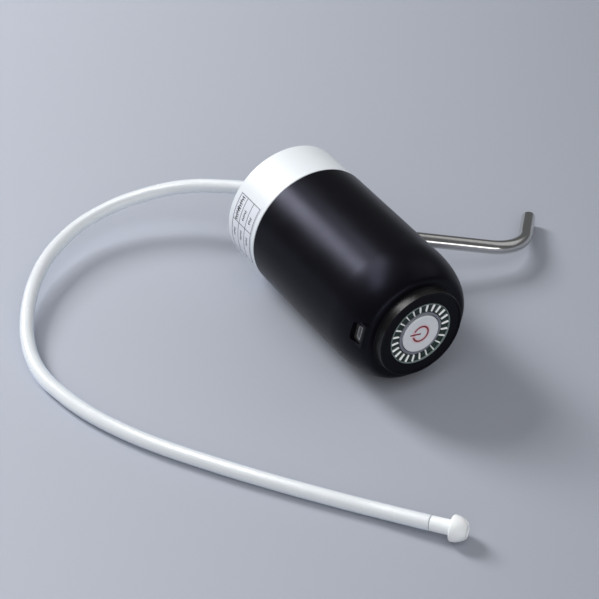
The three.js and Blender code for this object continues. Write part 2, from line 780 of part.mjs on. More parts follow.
function pumpCover() {
  const inner = pump.radius - pump.wall;
  const floorTop = pump.coverBottom + pump.coverFloor;
  const shellPart = turned([
    [0, pump.coverBottom], [pump.radius, pump.coverBottom], [pump.radius, coverTop],
    [inner, coverTop], [inner, floorTop], [pump.centreRadius, floorTop],
    [pump.centreRadius, coverTop], [pump.centreRadius - pump.centreWall, coverTop],
    [pump.centreRadius - pump.centreWall, floorTop], [0, floorTop],
  ], midSides);
  const bosses = around(pump.screwCircle, pump.screwAngles, () => (
    rod(pump.bossRadius, pump.coverBottom, coverTop, lowSides)
  ));
  const outletPipe = rod(outlet.radius, pump.centreRadius - pump.centreWall, outlet.reach, midSides)
    .rotateY(Math.PI / 2).translate(0, 0, outlet.height);
  const inletPipe = rod(port.radius, pump.coverBottom - port.length, floorTop, midSides)
    .translate(-pumpX, -pumpY, 0);
  const outletBore = rod(outlet.bore, 0, outlet.reach + overrun, lowSides)
    .rotateY(Math.PI / 2).translate(0, 0, outlet.height);
  const inletBore = rod(port.bore, pump.coverBottom - port.length - overrun, floorTop + gap, lowSides)
    .translate(-pumpX, -pumpY, 0);
  const screwHoles = around(pump.screwCircle, pump.screwAngles, () => (
    rod(pump.screwRadius + gap, 0, pump.housingTop, lowSides)
  ));
  const whole = cut(join(shellPart, ...bosses, outletPipe, inletPipe), outletBore, inletBore, ...screwHoles);
  return whole.translate(pumpX, pumpY, 0);
}

function valvePlate() {
  const disc = rod(pump.radius, plateBottom, plateTop, midSides);
  const stemHoles = around(cup.circle, cup.angles, () => (
    rod(valve.stemRadius + gap, 0, diaphragmTop, lowSides)
  ));
  const vents = around(cup.circle, cup.angles, (angle) => (
    rod(valve.ventRadius, 0, diaphragmTop, tinySides)
      .translate(valve.ventCircle * Math.cos(degrees(angle)), valve.ventCircle * Math.sin(degrees(angle)), 0)
  ));
  const outletVents = around(valve.ventCircle, valve.outletVents, () => (
    rod(valve.ventRadius, 0, diaphragmTop, tinySides)
  ));
  const centreHole = rod(valve.stemRadius + gap, 0, diaphragmTop, lowSides);
  const screwHoles = around(pump.screwCircle, pump.screwAngles, () => (
    rod(pump.screwRadius + gap, 0, pump.housingTop, lowSides)
  ));
  const plate = cut(disc, ...stemHoles, ...vents, ...outletVents, centreHole, ...screwHoles);
  return plate.translate(pumpX, pumpY, 0);
}

// A rubber valve: a thin cap over the vents and a stem through the plate, cap upward.
function capValve() {
  const underside = plateTop + gap;
  return turned([
    [0, plateBottom], [valve.stemRadius, plateBottom], [valve.stemRadius, underside],
    [valve.radius, underside], [valve.stemRadius, underside + valve.thickness],
    [0, underside + valve.thickness],
  ], lowSides);
}

// The outlet valve is the same, cap downward.
function outletValve() {
  const middle = (plateBottom + plateTop) / 2;
  return capValve().translate(0, 0, -middle).rotateX(Math.PI).translate(pumpX, pumpY, middle);
}

function diaphragm() {
  const cupTop = diaphragmTop + cup.height;
  const inner = cup.radius - thinWall;
  const disc = rod(pump.radius, diaphragmBottom, diaphragmTop, midSides);
  const cups = around(cup.circle, cup.angles, () => turned([
    [0, diaphragmBottom], [cup.radius, diaphragmBottom], [cup.radius, cupTop - cup.top],
    [cup.radius - cup.top, cupTop], [cup.stemRadius, cupTop], [cup.stemRadius, cup.headBottom],
    [cup.headRadius, cup.headBottom], [cup.headRadius / 2, cup.headBottom + cup.headHeight],
    [0, cup.headBottom + cup.headHeight],
  ], fewSides));
  const hollows = around(cup.circle, cup.angles, () => turned([
    [0, diaphragmBottom - overrun], [inner, diaphragmBottom - overrun], [inner, cupTop - cup.top - thinWall],
    [inner - cup.top, cupTop - thinWall], [0, cupTop - thinWall],
  ], fewSides));
  const screwHoles = around(pump.screwCircle, pump.screwAngles, () => (
    rod(pump.screwRadius + gap, 0, pump.housingTop, lowSides)
  ));
  return cut(join(disc, ...cups), ...hollows, ...screwHoles).translate(pumpX, pumpY, 0);
}

function pumpHousing() {
  const inner = pump.radius - pump.wall;
  const plateUnder = pump.housingTop - pump.housingPlate;
  const walls = turned([
    [inner, housingBottom], [pump.radius, housingBottom], [pump.radius, pump.housingTop],
    [pump.noseRadius, pump.housingTop], [pump.noseRadius, plateUnder], [inner, plateUnder],
  ], midSides);
  const bosses = around(pump.screwCircle, pump.screwAngles, () => (
    rod(pump.bossRadius, housingBottom, pump.bossTop, lowSides)
  ));
  const outside = rod(pump.radius, housingBottom, pump.housingTop, midSides);
  const holes = around(pump.screwCircle, pump.screwAngles, () => (
    rod(pump.screwRadius + gap, 0, pump.bossTop - pump.wall, lowSides)
  ));
  return cut(join(walls, common(join(...bosses), outside)), ...holes).translate(pumpX, pumpY, 0);
}

function pumpScrew(angle) {
  const shoulder = pump.coverBottom - gap;
  const size = {
    radius: pump.screwRadius,
    headRadius: pump.screwHead,
    headHeight: pump.screwHeadHeight,
    length: pump.bossTop - pump.wall - gap - shoulder,
  };
  const shape = screwShape(size, shoulder - size.headHeight);
  return around(pump.screwCircle, [angle], () => shape)[0].translate(pumpX, pumpY, 0);
}

// The rocking plate is drawn level about its own middle, then tilted with its pin.
function tilted(geometry) {
  return geometry.rotateY(degrees(wobble.tilt)).translate(pumpX, pumpY, wobble.height);
}

function wobblePlate() {
  const half = wobble.thickness / 2;
  const lobes = around(cup.circle, cup.angles, () => rod(wobble.lobeRadius, -half, half, midSides));
  const holes = around(cup.circle, cup.angles, () => (
    rod(wobble.holeRadius, -half - overrun, half + overrun, lowSides)
  ));
  const hub = rod(wobble.hubRadius, -half, wobble.hubTop - wobble.height, midSides);
  const pinHole = rod(crankPin.radius + gap, crankPin.bottom - gap, crankPin.top, lowSides);
  return tilted(cut(join(rod(wobble.coreRadius, -half, half, midSides), ...lobes, hub), ...holes, pinHole));
}

function crankPinShape() {
  return tilted(rod(crankPin.radius, crankPin.bottom, crankPin.top, lowSides));
}

// The eccentric holds the pin off centre, so the pin's hole slants through it.
function eccentricWheel() {
  const wheel = rod(eccentric.radius, eccentric.bottom, eccentric.top, midSides).translate(pumpX, pumpY, 0);
  const shaftHole = rod(bushBore, shaftBottom - gap, eccentric.top + overrun, lowSides);
  const pinHole = tilted(rod(crankPin.radius + gap, crankPin.bottom, crankPin.top + gap, lowSides));
  return cut(wheel, shaftHole.translate(pumpX, pumpY, 0), pinHole);
}

function motorCan() {
  const inner = motor.radius - motor.wall;
  const floorTop = motor.bottom + motor.wall;
  const nose = motor.bushRadius + gap;
  return turned([
    [nose, motor.bottom], [motor.radius, motor.bottom], [motor.radius, motor.top],
    [inner, motor.top], [inner, floorTop], [nose, floorTop],
  ], midSides).translate(pumpX, pumpY, 0);
}

function motorEndCap() {
  const plug = motor.radius - motor.wall - gap;
  const flangeBottom = motor.top + gap;
  return turned([
    [motor.bushRadius + gap, motor.top - motor.capPlug], [plug, motor.top - motor.capPlug],
    [plug, flangeBottom], [motor.radius, flangeBottom], [motor.radius, motor.capTop],
    [motor.bushRadius + gap, motor.capTop],
  ], midSides).translate(pumpX, pumpY, 0);
}

function magnet(side) {
  const half = motor.magnetSpread / 2;
  return sector(
    motor.magnetRadius - motor.magnetThickness, motor.magnetRadius, side - half, side + half,
    motor.magnetBottom, motor.magnetTop,
  ).translate(pumpX, pumpY, 0);
}

function armature() {
  const core = rod(motor.armatureRadius, motor.armatureBottom, motor.armatureTop, midSides);
  const slots = evenly(motor.armaturePoles).map((angle) => block(
    motor.armatureCore, motor.armatureRadius + overrun, -motor.armatureSlot / 2, motor.armatureSlot / 2,
    motor.armatureBottom - overrun, motor.armatureTop + overrun,
  ).rotateZ(degrees(angle)));
  const bore = rod(bushBore, motor.armatureBottom - overrun, motor.armatureTop + overrun, lowSides);
  return cut(core, ...slots, bore).translate(pumpX, pumpY, 0);
}

function lightRingShape() {
  const lipInner = ringOuter - lightRing.lipWidth;
  const flangeRadius = ringOuter + lightRing.flangeWidth;
  const lipTop = wellFloor + lightRing.lipRise;
  const floor = wellFloor - lightRing.depth;
  const base = turned([
    [ringInner, ringBottom], [flangeRadius, ringBottom], [flangeRadius, flangeRoof],
    [ringOuter, flangeRoof], [ringOuter, lipTop], [lipInner, lipTop],
    [lipInner, floor], [ringInner, floor],
  ], fineSides);
  const low = floor - gap;
  const barTop = wellFloor - lightRing.barDrop;
  const crest = new THREE.Shape([
    new THREE.Vector2(-lightRing.barWidth / 2, low),
    new THREE.Vector2(lightRing.barWidth / 2, low),
    new THREE.Vector2(lightRing.barCrest / 2, barTop),
    new THREE.Vector2(-lightRing.barCrest / 2, barTop),
  ]);
  const length = lipInner + gap - ringInner;
  const bars = evenly(lightRing.bars).map((angle) => (
    new THREE.ExtrudeGeometry(crest, { depth: length, bevelEnabled: false })
      .rotateX(Math.PI / 2).translate(0, ringInner + length, 0).rotateZ(degrees(angle))
  ));
  const trim = pipe(ringInner, ringOuter, low, rimTop, fineSides);
  return join(base, common(join(...bars), trim));
}

function bezelShape() {
  return turned([
    [bezelInner, bezelBottom], [bezelOuter, bezelBottom],
    [bezelOuter, bezelTop - bezel.bevel], [bezelOuter - bezel.bevel, bezelTop],
    [bezelInner + bezel.bevel, bezelTop], [bezelInner, bezelTop - bezel.bevel],
  ], fineSides);
}

function buttonCap() {
  const lipTop = bezelBottom - gap;
  const lipBottom = lipTop - button.lipHeight;
  const lipRadius = buttonRadius + button.lipWidth;
  const inner = buttonRadius - button.wall;
  const skinUnder = buttonTop - button.skin;
  return turned([
    [0, pinTop + gap], [button.stemRadius, pinTop + gap], [button.stemRadius, skinUnder],
    [inner, skinUnder], [inner, lipBottom], [lipRadius, lipBottom],
    [lipRadius, lipTop], [buttonRadius, lipTop], [buttonRadius, buttonTop - button.edge],
    [buttonRadius - button.edge, buttonTop], [0, buttonTop],
  ], fineSides);
}

function boardShape() {
  const disc = rod(boardRadius, boardUnder, boardTop, fineSides);
  const holes = around(boardScrewCircle, board.screwAngles, () => (
    rod(boardScrew.radius + gap, 0, domeTop, lowSides)
  ));
  return cut(disc, ...holes);
}

function usbSocket() {
  const back = usbFront - usb.depth;
  const halfWidth = usb.width / 2;
  const halfHeight = usb.height / 2;
  const wall = usb.wall;
  const low = usbHeight - halfHeight;
  const high = usbHeight + halfHeight;
  const outer = block(-usbFront, -back, -halfWidth, halfWidth, low, high);
  const hollow = block(
    -usbFront - overrun, -back - wall, -halfWidth + wall, halfWidth - wall, low + wall, high - wall,
  );
  return cut(outer, hollow);
}

function usbTongue() {
  const halfWidth = usb.tongueWidth / 2;
  const top = usbHeight + usb.height / 2 - usb.wall - gap;
  const back = usbFront - usb.depth + usb.wall + gap;
  return block(-usbFront + gap, -back, -halfWidth, halfWidth, top - usb.tongueThickness, top);
}

function tactSwitch() {
  const half = tact.side / 2;
  const top = boardSeat + tact.height;
  const well = rod(tact.pinRadius + gap, top - tact.wellDepth, top + overrun, lowSides);
  return cut(block(-half, half, -half, half, boardSeat, top), well);
}

function lampShape(angle) {
  const length = lamp.length / 2;
  const width = lamp.width / 2;
  const body = block(-width, width, -length, length, boardSeat, boardSeat + lamp.height);
  return body.translate(ringOuter - lamp.inset, 0, 0).rotateZ(degrees(angle));
}

function batteryCell() {
  const top = batteryBottom + battery.length - battery.tipHeight;
  return turned([
    [0, batteryBottom], [battery.radius, batteryBottom], [battery.radius, top],
    [battery.tipRadius, top], [battery.tipRadius, top + battery.tipHeight], [0, top + battery.tipHeight],
  ], midSides).translate(battery.x, batteryY, 0);
}

// The soft tube from the pump's outlet to the socket, straight where it sits on each of them.
function outletTube() {
  const inner = outlet.radius + gap;
  const leg = new THREE.Vector3(Math.cos(degrees(spout.rise)), 0, Math.sin(degrees(spout.rise)));
  const exit = new THREE.Vector3(shell.radius, 0, spout.exitHeight);
  const socketStart = exit.clone().addScaledVector(leg, socketEnd - gap);
  const socketTip = exit.clone().addScaledVector(leg, socketEnd - socket.portLength);
  const pumpStart = new THREE.Vector3(pumpX + pump.radius + gap, pumpY, outlet.height);
  const pumpTip = new THREE.Vector3(pumpX + outlet.reach, pumpY, outlet.height);
  const pullShare = 1 / 3;
  const pull = pumpTip.distanceTo(socketTip) * pullShare;
  const path = new THREE.CurvePath();
  path.add(new THREE.LineCurve3(pumpStart, pumpTip));
  path.add(new THREE.CubicBezierCurve3(
    pumpTip, pumpTip.clone().add(new THREE.Vector3(pull, 0, 0)),
    socketTip.clone().addScaledVector(leg, -pull), socketTip,
  ));
  path.add(new THREE.LineCurve3(socketTip, socketStart));
  return tube(path, inner + softWall, inner + gap, lowSides, wire.steps);
}

function wireAlong(points) {
  const path = new THREE.CatmullRomCurve3(points.map(([x, y, z]) => new THREE.Vector3(x, y, z)));
  return tube(path, wire.radius, 0, tinySides, wire.steps);
}

function addCasing() {
  piece('outer_shell', outerShell(), 'blackPlastic');
  piece('bottle_collar', bottleCollar(), 'whitePlastic');
  const gasketBottom = gasketTop - gasket.thickness;
  const gasketInner = gasketOuter - gasket.width;
  const gasketRing = pipe(gasketInner, gasketOuter, gasketBottom, gasketTop, fineSides);
  piece('collar_gasket', gasketRing, 'silicone');
  const labelInner = collarRadius + gap;
  const labelShape = sector(
    labelInner, labelInner + label.thickness, label.from, label.to, label.bottom, label.top,
  );
  piece('spec_label', labelShape, 'paper');
  piece('inlet_nipple', inletNipple(), 'whitePlastic');
  caseScrews.angles.forEach((angle, i) => {
    const shape = screwShape(screw, webUnder + screw.headSink);
    const place = around(caseScrewCircle, [angle], () => shape)[0];
    piece(`case_screw_${i + 1}`, place, 'plainSteel');
  });
}

function addTop() {
  piece('light_ring', lightRingShape(), 'clearPlastic');
  piece('button_bezel', bezelShape(), 'bezelGrey');
  piece('button_cap', buttonCap(), 'buttonGrey');
  const reflectorOuter = ringOuter + reflector.overlap;
  const reflectorInner = reflectorOuter - reflector.wall;
  const reflectorShape = pipe(reflectorInner, reflectorOuter, boardSeat, ringBottom - gap, midSides);
  piece('ring_reflector', reflectorShape, 'whitePlastic');
  piece('top_board', boardShape(), 'greenBoard');
  piece('usb_socket', usbSocket(), 'steel');
  piece('usb_tongue', usbTongue(), 'blackPlastic');
  piece('tact_switch', tactSwitch(), 'plainSteel');
  piece('tact_plunger', rod(tact.pinRadius, pinTop - tact.pinLength, pinTop, lowSides), 'blackPlastic');
  evenly(lamp.count, lamp.turn).forEach((angle, i) => {
    piece(`led_${i + 1}`, lampShape(angle), 'whitePlastic');
  });
  board.screwAngles.forEach((angle, i) => {
    const shape = screwShape(boardScrew, boardUnder - gap - boardScrew.headHeight);
    piece(`board_screw_${i + 1}`, around(boardScrewCircle, [angle], () => shape)[0], 'plainSteel');
  });
}

function addPump() {
  piece('inner_frame', innerFrame(), 'greyPlastic');
  piece('inlet_tube', inletTube(), 'silicone');
  piece('pump_cover', pumpCover(), 'whitePlastic');
  piece('valve_plate', valvePlate(), 'whitePlastic');
  cup.angles.forEach((angle, i) => {
    const shape = around(cup.circle, [angle], capValve)[0].translate(pumpX, pumpY, 0);
    piece(`inlet_valve_${i + 1}`, shape, 'blackRubber');
  });
  piece('outlet_valve', outletValve(), 'blackRubber');
  piece('diaphragm', diaphragm(), 'blackRubber');
  piece('pump_housing', pumpHousing(), 'whitePlastic');
  piece('wobble_plate', wobblePlate(), 'whitePlastic');
  piece('crank_pin', crankPinShape(), 'plainSteel');
  piece('eccentric', eccentricWheel(), 'whitePlastic');
  pump.screwAngles.forEach((angle, i) => piece(`pump_screw_${i + 1}`, pumpScrew(angle), 'plainSteel'));
}

function addMotor() {
  const centred = (geometry) => geometry.translate(pumpX, pumpY, 0);
  piece('motor_can', motorCan(), 'plainSteel');
  piece('motor_end_cap', motorEndCap(), 'blackPlastic');
  piece('motor_shaft', centred(rod(motor.shaftRadius, shaftBottom, motor.shaftTop, lowSides)), 'plainSteel');
  piece('armature', armature(), 'copper');
  const commutator = pipe(
    bushBore, motor.commutatorRadius, motor.commutatorBottom, motor.commutatorTop, lowSides,
  );
  piece('commutator', centred(commutator), 'copper');
  motor.magnetAngles.forEach((angle, i) => piece(`magnet_${i + 1}`, magnet(angle), 'magnet'));
  const bushStart = motor.bottom - motor.wall;
  const lowerBush = pipe(bushBore, motor.bushRadius, bushStart, bushStart + motor.bushLength, lowSides);
  const upperBush = pipe(bushBore, motor.bushRadius, motor.capTop - motor.bushLength, motor.capTop, lowSides);
  piece('bush_lower', centred(lowerBush), 'brass');
  piece('bush_upper', centred(upperBush), 'brass');
}

function addPower() {
  piece('battery_cell', batteryCell(), 'blueWrap');
  const boardEnd = boardUnder - gap;
  const terminal = motor.capTop + gap;
  const cellTop = batteryBottom + battery.length + gap;
  const cellSide = batteryY + battery.radius + gap + trough.wall + wire.radius + gap;
  piece('motor_wire_1', wireAlong([
    [pumpX - terminals.spread, pumpY, terminal],
    [pumpX - terminals.spread, pumpY, terminal + wire.lead],
    [pumpX - terminals.boardX, pumpY + terminals.boardNear, boardEnd - wire.lead],
    [pumpX - terminals.boardX, pumpY + terminals.boardNear, boardEnd],
  ]), 'redWire');
  piece('motor_wire_2', wireAlong([
    [pumpX + terminals.spread, pumpY, terminal],
    [pumpX + terminals.spread, pumpY, terminal + wire.lead],
    [pumpX + terminals.boardX, pumpY + terminals.boardFar, boardEnd - wire.lead],
    [pumpX + terminals.boardX, pumpY + terminals.boardFar, boardEnd],
  ]), 'blackWire');
  piece('battery_wire_1', wireAlong([
    [battery.x, batteryY, cellTop], [battery.x, batteryY, boardEnd],
  ]), 'redWire');
  piece('battery_wire_2', wireAlong([
    [battery.x, cellSide, chassisTop + gap], [battery.x, cellSide, trough.top],
    [battery.x - sideWire.shift, cellSide, boardEnd - sideWire.lead],
    [battery.x - sideWire.shift, cellSide, boardEnd],
  ]), 'blackWire');
}

function addSpout() {
  piece('outlet_tube', outletTube(), 'silicone');
  piece('spout_socket', spoutSocket(), 'blackPlastic');
  piece('spout_seal', spoutSeal(), 'blackRubber');
  piece('spout', spoutTube(), 'steel');
}

// The suction hose lies on the floor, so it and its foot are placed in the laid frame.
function addHose() {
  const hoseTube = tube(hosePath(), hose.radius, hose.bore, hose.sides, hose.steps);
  cordPieces.push(piece('suction_hose', hoseTube, 'clearHose', laid));
  cordPieces.push(piece('hose_foot', hoseFoot(), 'whitePlastic', laid));
}

// The pump's own axis becomes +X, and the spout droops from +Y towards the floor.
function layDown() {
  const droop = degrees(spoutDroop);
  const basis = new THREE.Matrix4().makeBasis(
    new THREE.Vector3(0, Math.cos(droop), -Math.sin(droop)),
    new THREE.Vector3(0, Math.sin(droop), Math.cos(droop)),
    new THREE.Vector3(1, 0, 0),
  );
  upright.quaternion.setFromRotationMatrix(basis);
  upright.position.set(0, 0, axisHeight);
  laid.add(upright);
}

// The origin is under the middle of the object's own box, without the hose and its foot.
function centreOnFloor() {
  laid.updateMatrixWorld(true);
  const box = new THREE.Box3();
  laid.traverse((node) => {
    if (node.isMesh && !cordPieces.includes(node)) box.expandByObject(node, true);
  });
  const middle = box.getCenter(new THREE.Vector3());
  laid.position.set(-middle.x, -middle.y, -box.min.z);
}

addCasing();
addTop();
addPump();
addMotor();
addPower();
addSpout();
addHose();
layDown();
centreOnFloor();

export default laid;
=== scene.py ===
import json
import math
import bmesh
import bpy
from mathutils import Matrix, Vector

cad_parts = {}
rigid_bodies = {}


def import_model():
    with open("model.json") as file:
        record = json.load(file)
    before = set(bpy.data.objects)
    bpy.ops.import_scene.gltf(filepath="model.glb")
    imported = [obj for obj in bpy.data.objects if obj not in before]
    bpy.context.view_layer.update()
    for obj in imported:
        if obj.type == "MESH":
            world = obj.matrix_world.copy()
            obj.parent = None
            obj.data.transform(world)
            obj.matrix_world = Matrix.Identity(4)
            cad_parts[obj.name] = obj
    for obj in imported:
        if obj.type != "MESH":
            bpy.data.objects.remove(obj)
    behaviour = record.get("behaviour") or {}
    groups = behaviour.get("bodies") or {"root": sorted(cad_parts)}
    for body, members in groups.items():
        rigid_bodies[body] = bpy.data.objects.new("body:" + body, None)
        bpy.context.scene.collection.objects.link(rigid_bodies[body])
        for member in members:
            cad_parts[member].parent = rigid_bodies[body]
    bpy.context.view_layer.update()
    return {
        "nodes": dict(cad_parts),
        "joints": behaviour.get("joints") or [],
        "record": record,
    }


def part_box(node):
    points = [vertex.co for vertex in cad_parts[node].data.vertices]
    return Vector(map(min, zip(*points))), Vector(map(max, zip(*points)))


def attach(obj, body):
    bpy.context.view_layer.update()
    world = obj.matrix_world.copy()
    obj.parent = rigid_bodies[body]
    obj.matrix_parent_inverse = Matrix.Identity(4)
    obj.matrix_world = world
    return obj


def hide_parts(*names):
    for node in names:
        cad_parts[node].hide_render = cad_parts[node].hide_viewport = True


# A rechargeable pump for large water bottles, lying on its side with its hose looped in front.
# Sizes are in millimetres, with the pump upright on its collar unless a note says otherwise.
for spare in list(bpy.data.objects):  # the start-up scene's own objects
    bpy.data.objects.remove(spare)
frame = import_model()
mm = 0.001
overrun = 1  # how far a cutting block reaches past the surface that it cuts
print("frame loaded:", len(frame["nodes"]), "nodes")

# The upright pump's place in the frame, read from pieces that share its axis.
gasketLow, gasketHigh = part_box("collar_gasket")
axisPoint = Vector((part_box("bottle_collar")[0].x, 0, 0))
axisPoint.y = (gasketLow.y + gasketHigh.y) / 2
axisPoint.z = (gasketLow.z + gasketHigh.z) / 2
turnJoint = next(joint for joint in frame["joints"] if joint["name"] == "spout_turn")
legAxis = Vector(turnJoint["axis"])
legStart = Vector(turnJoint["pos_m"])
upAxis = Vector((1, 0, 0))
frontAxis = Vector((0, legAxis.y, legAxis.z)).normalized()  # the side that the spout leaves
sideAxis = upAxis.cross(frontAxis)


def placeFrom(x, y, z, point):  # a frame of three directions and a point, in millimetres
    turn = Matrix((x, y, z)).transposed().to_4x4()
    return Matrix.Translation(point) @ turn @ Matrix.Scale(mm, 4)


upright = placeFrom(frontAxis, sideAxis, upAxis, axisPoint)
alongLeg = placeFrom(sideAxis.cross(legAxis), sideAxis, legAxis, legStart)
alongFloor = placeFrom(
    Vector((1, 0, 0)), Vector((0, 1, 0)), Vector((0, 0, 1)), Vector((axisPoint.x, axisPoint.y, 0))
)


def linear(hexColour):  # an sRGB hex colour as linear values
    parts = [int(hexColour[i:i + 2], 16) / 255 for i in (1, 3, 5)]
    parts = [part / 12.92 if part <= 0.04045 else ((part + 0.055) / 1.055) ** 2.4 for part in parts]
    return parts + [1]


def addNode(tree, kind, settings=None, links=None):  # a node, its values and what feeds it
    node = tree.nodes.new(kind)
    for name, value in (settings or {}).items():
        if isinstance(name, str) and hasattr(node, name):
            setattr(node, name, value)
        else:
            node.inputs[name].default_value = value
    for name, source in (links or {}).items():
        tree.links.new(source, node.inputs[name])
    return node


def startMaterial(name, colour, roughness, **more):  # a Principled material with its plain values
    material = bpy.data.materials.new(name)
    material.use_nodes = True
    shader = material.node_tree.nodes["Principled BSDF"]
    shader.inputs["Base Color"].default_value = linear(colour)
    shader.inputs["Roughness"].default_value = roughness
    for socket, value in more.items():
        shader.inputs[socket.replace("_", " ")].default_value = value
    return material, material.node_tree, shader


# What the patterns share. Real mould grain is about 0.1 mm and real grinding lines are finer,
# which the render can't show, so most grains below are drawn two to seven times as coarse.
patternSizes = {
    "bumpStrength": 0.6,
    "smoothDetail": 2, "wearDetail": 3,  # octaves of noise
    "noiseLow": 0.35, "noiseHigh": 0.65,  # the noise is seldom outside these
}


def addGrain(tree, shader, grain, height):  # a moulded or ground surface, sizes in millimetres
    place = addNode(tree, "ShaderNodeTexCoord")
    noise = addNode(
        tree, "ShaderNodeTexNoise",
        {"Scale": 1 / (grain * mm), "Detail": patternSizes["smoothDetail"]},
        {"Vector": place.outputs["Object"]},
    )
    bump = addNode(
        tree, "ShaderNodeBump",
        {"Strength": patternSizes["bumpStrength"], "Distance": height * mm},
        {"Height": noise.outputs["Fac"]},
    )
    tree.links.new(bump.outputs["Normal"], shader.inputs["Normal"])


def addWear(tree, shader, patch, low, high):  # roughness that changes a little from patch to patch
    place = addNode(tree, "ShaderNodeTexCoord")
    noise = addNode(
        tree, "ShaderNodeTexNoise",
        {"Scale": 1 / (patch * mm), "Detail": patternSizes["wearDetail"]},
        {"Vector": place.outputs["Object"]},
    )
    spread = addNode(
        tree, "ShaderNodeMapRange",
        {"From Min": patternSizes["noiseLow"], "From Max": patternSizes["noiseHigh"],
         "To Min": low, "To Max": high},
        {"Value": noise.outputs["Fac"]},
    )
    tree.links.new(spread.outputs["Result"], shader.inputs["Roughness"])


def addTint(tree, shader, patch, first, second):  # two close colours in soft patches
    place = addNode(tree, "ShaderNodeTexCoord")
    noise = addNode(
        tree, "ShaderNodeTexNoise",
        {"Scale": 1 / (patch * mm), "Detail": patternSizes["smoothDetail"]},
        {"Vector": place.outputs["Object"]},
    )
    mix = addNode(
        tree, "ShaderNodeMix", {"data_type": "RGBA", 6: linear(first), 7: linear(second)},
        {0: noise.outputs["Fac"]},
    )
    tree.links.new(mix.outputs[2], shader.inputs["Base Color"])


def mouldedBlackAbs():  # fine-spark mould finish: deep black with a broad soft sheen
    material, tree, shader = startMaterial(
        "mouldedBlackAbs", "#0c0c0f", 0.33, IOR=1.52, Specular_IOR_Level=0.125,
        Specular_Tint=linear("#d2d4ff"),
    )
    addGrain(tree, shader, 0.35, 0.01)
    addWear(tree, shader, 14, 0.3, 0.345)
    return material


def polishedBlackAbs():  # the rim, which a polished part of the mould leaves brighter and neutral
    material, tree, shader = startMaterial("polishedBlackAbs", "#0d0d0e", 0.34, IOR=1.52)
    addWear(tree, shader, 9, 0.31, 0.37)
    return material


def mouldedWhiteAbs():  # bright, slightly cool white with a low gloss
    material, tree, shader = startMaterial("mouldedWhiteAbs", "#e9eef2", 0.38, IOR=1.52)
    addGrain(tree, shader, 0.6, 0.012)
    addTint(tree, shader, 22, "#e7edf2", "#ebeff3")
    return material


def labelPaper():  # coated label stock, a little duller than the plastic under it
    material, tree, shader = startMaterial("labelPaper", "#e3e6ee", 0.5)
    addGrain(tree, shader, 0.25, 0.01)
    addTint(tree, shader, 9, "#e0e3ec", "#e6e9f0")
    return material


def printingInk():  # flat black ink that soaks into the label unevenly
    material, tree, shader = startMaterial("printingInk", "#1b1c22", 0.6)
    addTint(tree, shader, 1.5, "#15161b", "#2b2c34")
    return material


def clearSilicone():  # milky clear hose: light passes and scatters inside the wall
    material, tree, shader = startMaterial(
        "clearSilicone", "#f6fbff", 0.3, IOR=1.41, Alpha=0.9, Subsurface_Weight=0.2,
        Subsurface_Radius=(1, 1, 1), Subsurface_Scale=0.002, Sheen_Weight=1, Sheen_Roughness=0.35,
        Sheen_Tint=linear("#cfe2ff"), Coat_Weight=0.35, Coat_Roughness=0.15,
    )
    addWear(tree, shader, 6, 0.18, 0.28)
    addGrain(tree, shader, 1.8, 0.01)  # the slight waves that drawing leaves in the wall
    return material


def milkySilicone():  # thicker silicone, nearly opaque
    material, tree, shader = startMaterial("milkySilicone", "#dcdfe2", 0.5, Subsurface_Weight=0.1)
    addGrain(tree, shader, 0.5, 0.01)
    return material


def softWhitePolypropylene():  # the waxy white of a small moulded fitting
    material, tree, shader = startMaterial(
        "softWhitePolypropylene", "#fafbfc", 0.42, IOR=1.49, Subsurface_Weight=0.08,
    )
    addGrain(tree, shader, 0.7, 0.015)
    addTint(tree, shader, 7, "#f9fafb", "#fcfcfd")
    return material


def polishedStainless():  # bent tube, polished bright, with a little unevenness left
    material, tree, shader = startMaterial("polishedStainless", "#c9c8c6", 0.2, Metallic=1)
    addWear(tree, shader, 5, 0.12, 0.19)
    addGrain(tree, shader, 0.4, 0.002)
    return material


def stampedSteel():  # nickel-plated sheet and zinc-plated screws
    material, tree, shader = startMaterial("stampedSteel", "#a9abae", 0.32, Metallic=1)
    addGrain(tree, shader, 0.3, 0.006)
    return material


def satinSilverPaint():  # the button: fine silver paint under a satin lacquer
    material, tree, shader = startMaterial("satinSilverPaint", "#eceef2", 0.34)
    addGrain(tree, shader, 0.2, 0.004)
    return material


def metallisedGrey():  # thin metal film on plastic, as on trim rings
    material, tree, shader = startMaterial("metallisedGrey", "#8d8f99", 0.3, Metallic=0.35)
    addGrain(tree, shader, 0.3, 0.004)
    return material


def brightFacets():  # metallised crystal bars; their faint white glow is a painted glint for the flashes of light off their facets
    material, tree, shader = startMaterial(
        "brightFacets", "#f4f6f7", 0.12, Coat_Weight=1, Emission_Color=linear("#ffffff"),
        Emission_Strength=0.25,
    )
    addTint(tree, shader, 4, "#ffffff", "#a9b6b4")
    return material


def darkFacets():  # the tinted floor between the bars: black, with dark green patches painted in as glints
    material, tree, shader = startMaterial("darkFacets", "#0e1515", 0.12, Coat_Weight=0.4)
    addTint(tree, shader, 2.5, "#080a0a", "#1d3a34")
    return material


def clearAcrylic():  # the ring's clear lip, drawn as an opaque grey: the grey and its patches are a painted reflection of the grey around it
    material, tree, shader = startMaterial("clearAcrylic", "#7d8b89", 0.14, IOR=1.49)
    addTint(tree, shader, 3, "#5d6a68", "#9aa8a6")
    return material


def redPrint():  # pad-printed mark on the button
    material, tree, shader = startMaterial("redPrint", "#850d1e", 0.4)
    addTint(tree, shader, 1, "#780a1b", "#930f24")
    return material


def matteBlackPlastic():  # glass-filled nylon of sockets and caps
    material, tree, shader = startMaterial("matteBlackPlastic", "#17181a", 0.55)
    addGrain(tree, shader, 0.4, 0.02)
    return material


def greyMouldedPlastic():  # the chassis: unpainted grey with a dry, dull surface
    material, tree, shader = startMaterial("greyMouldedPlastic", "#8d9094", 0.5)
    addGrain(tree, shader, 0.6, 0.02)
    return material


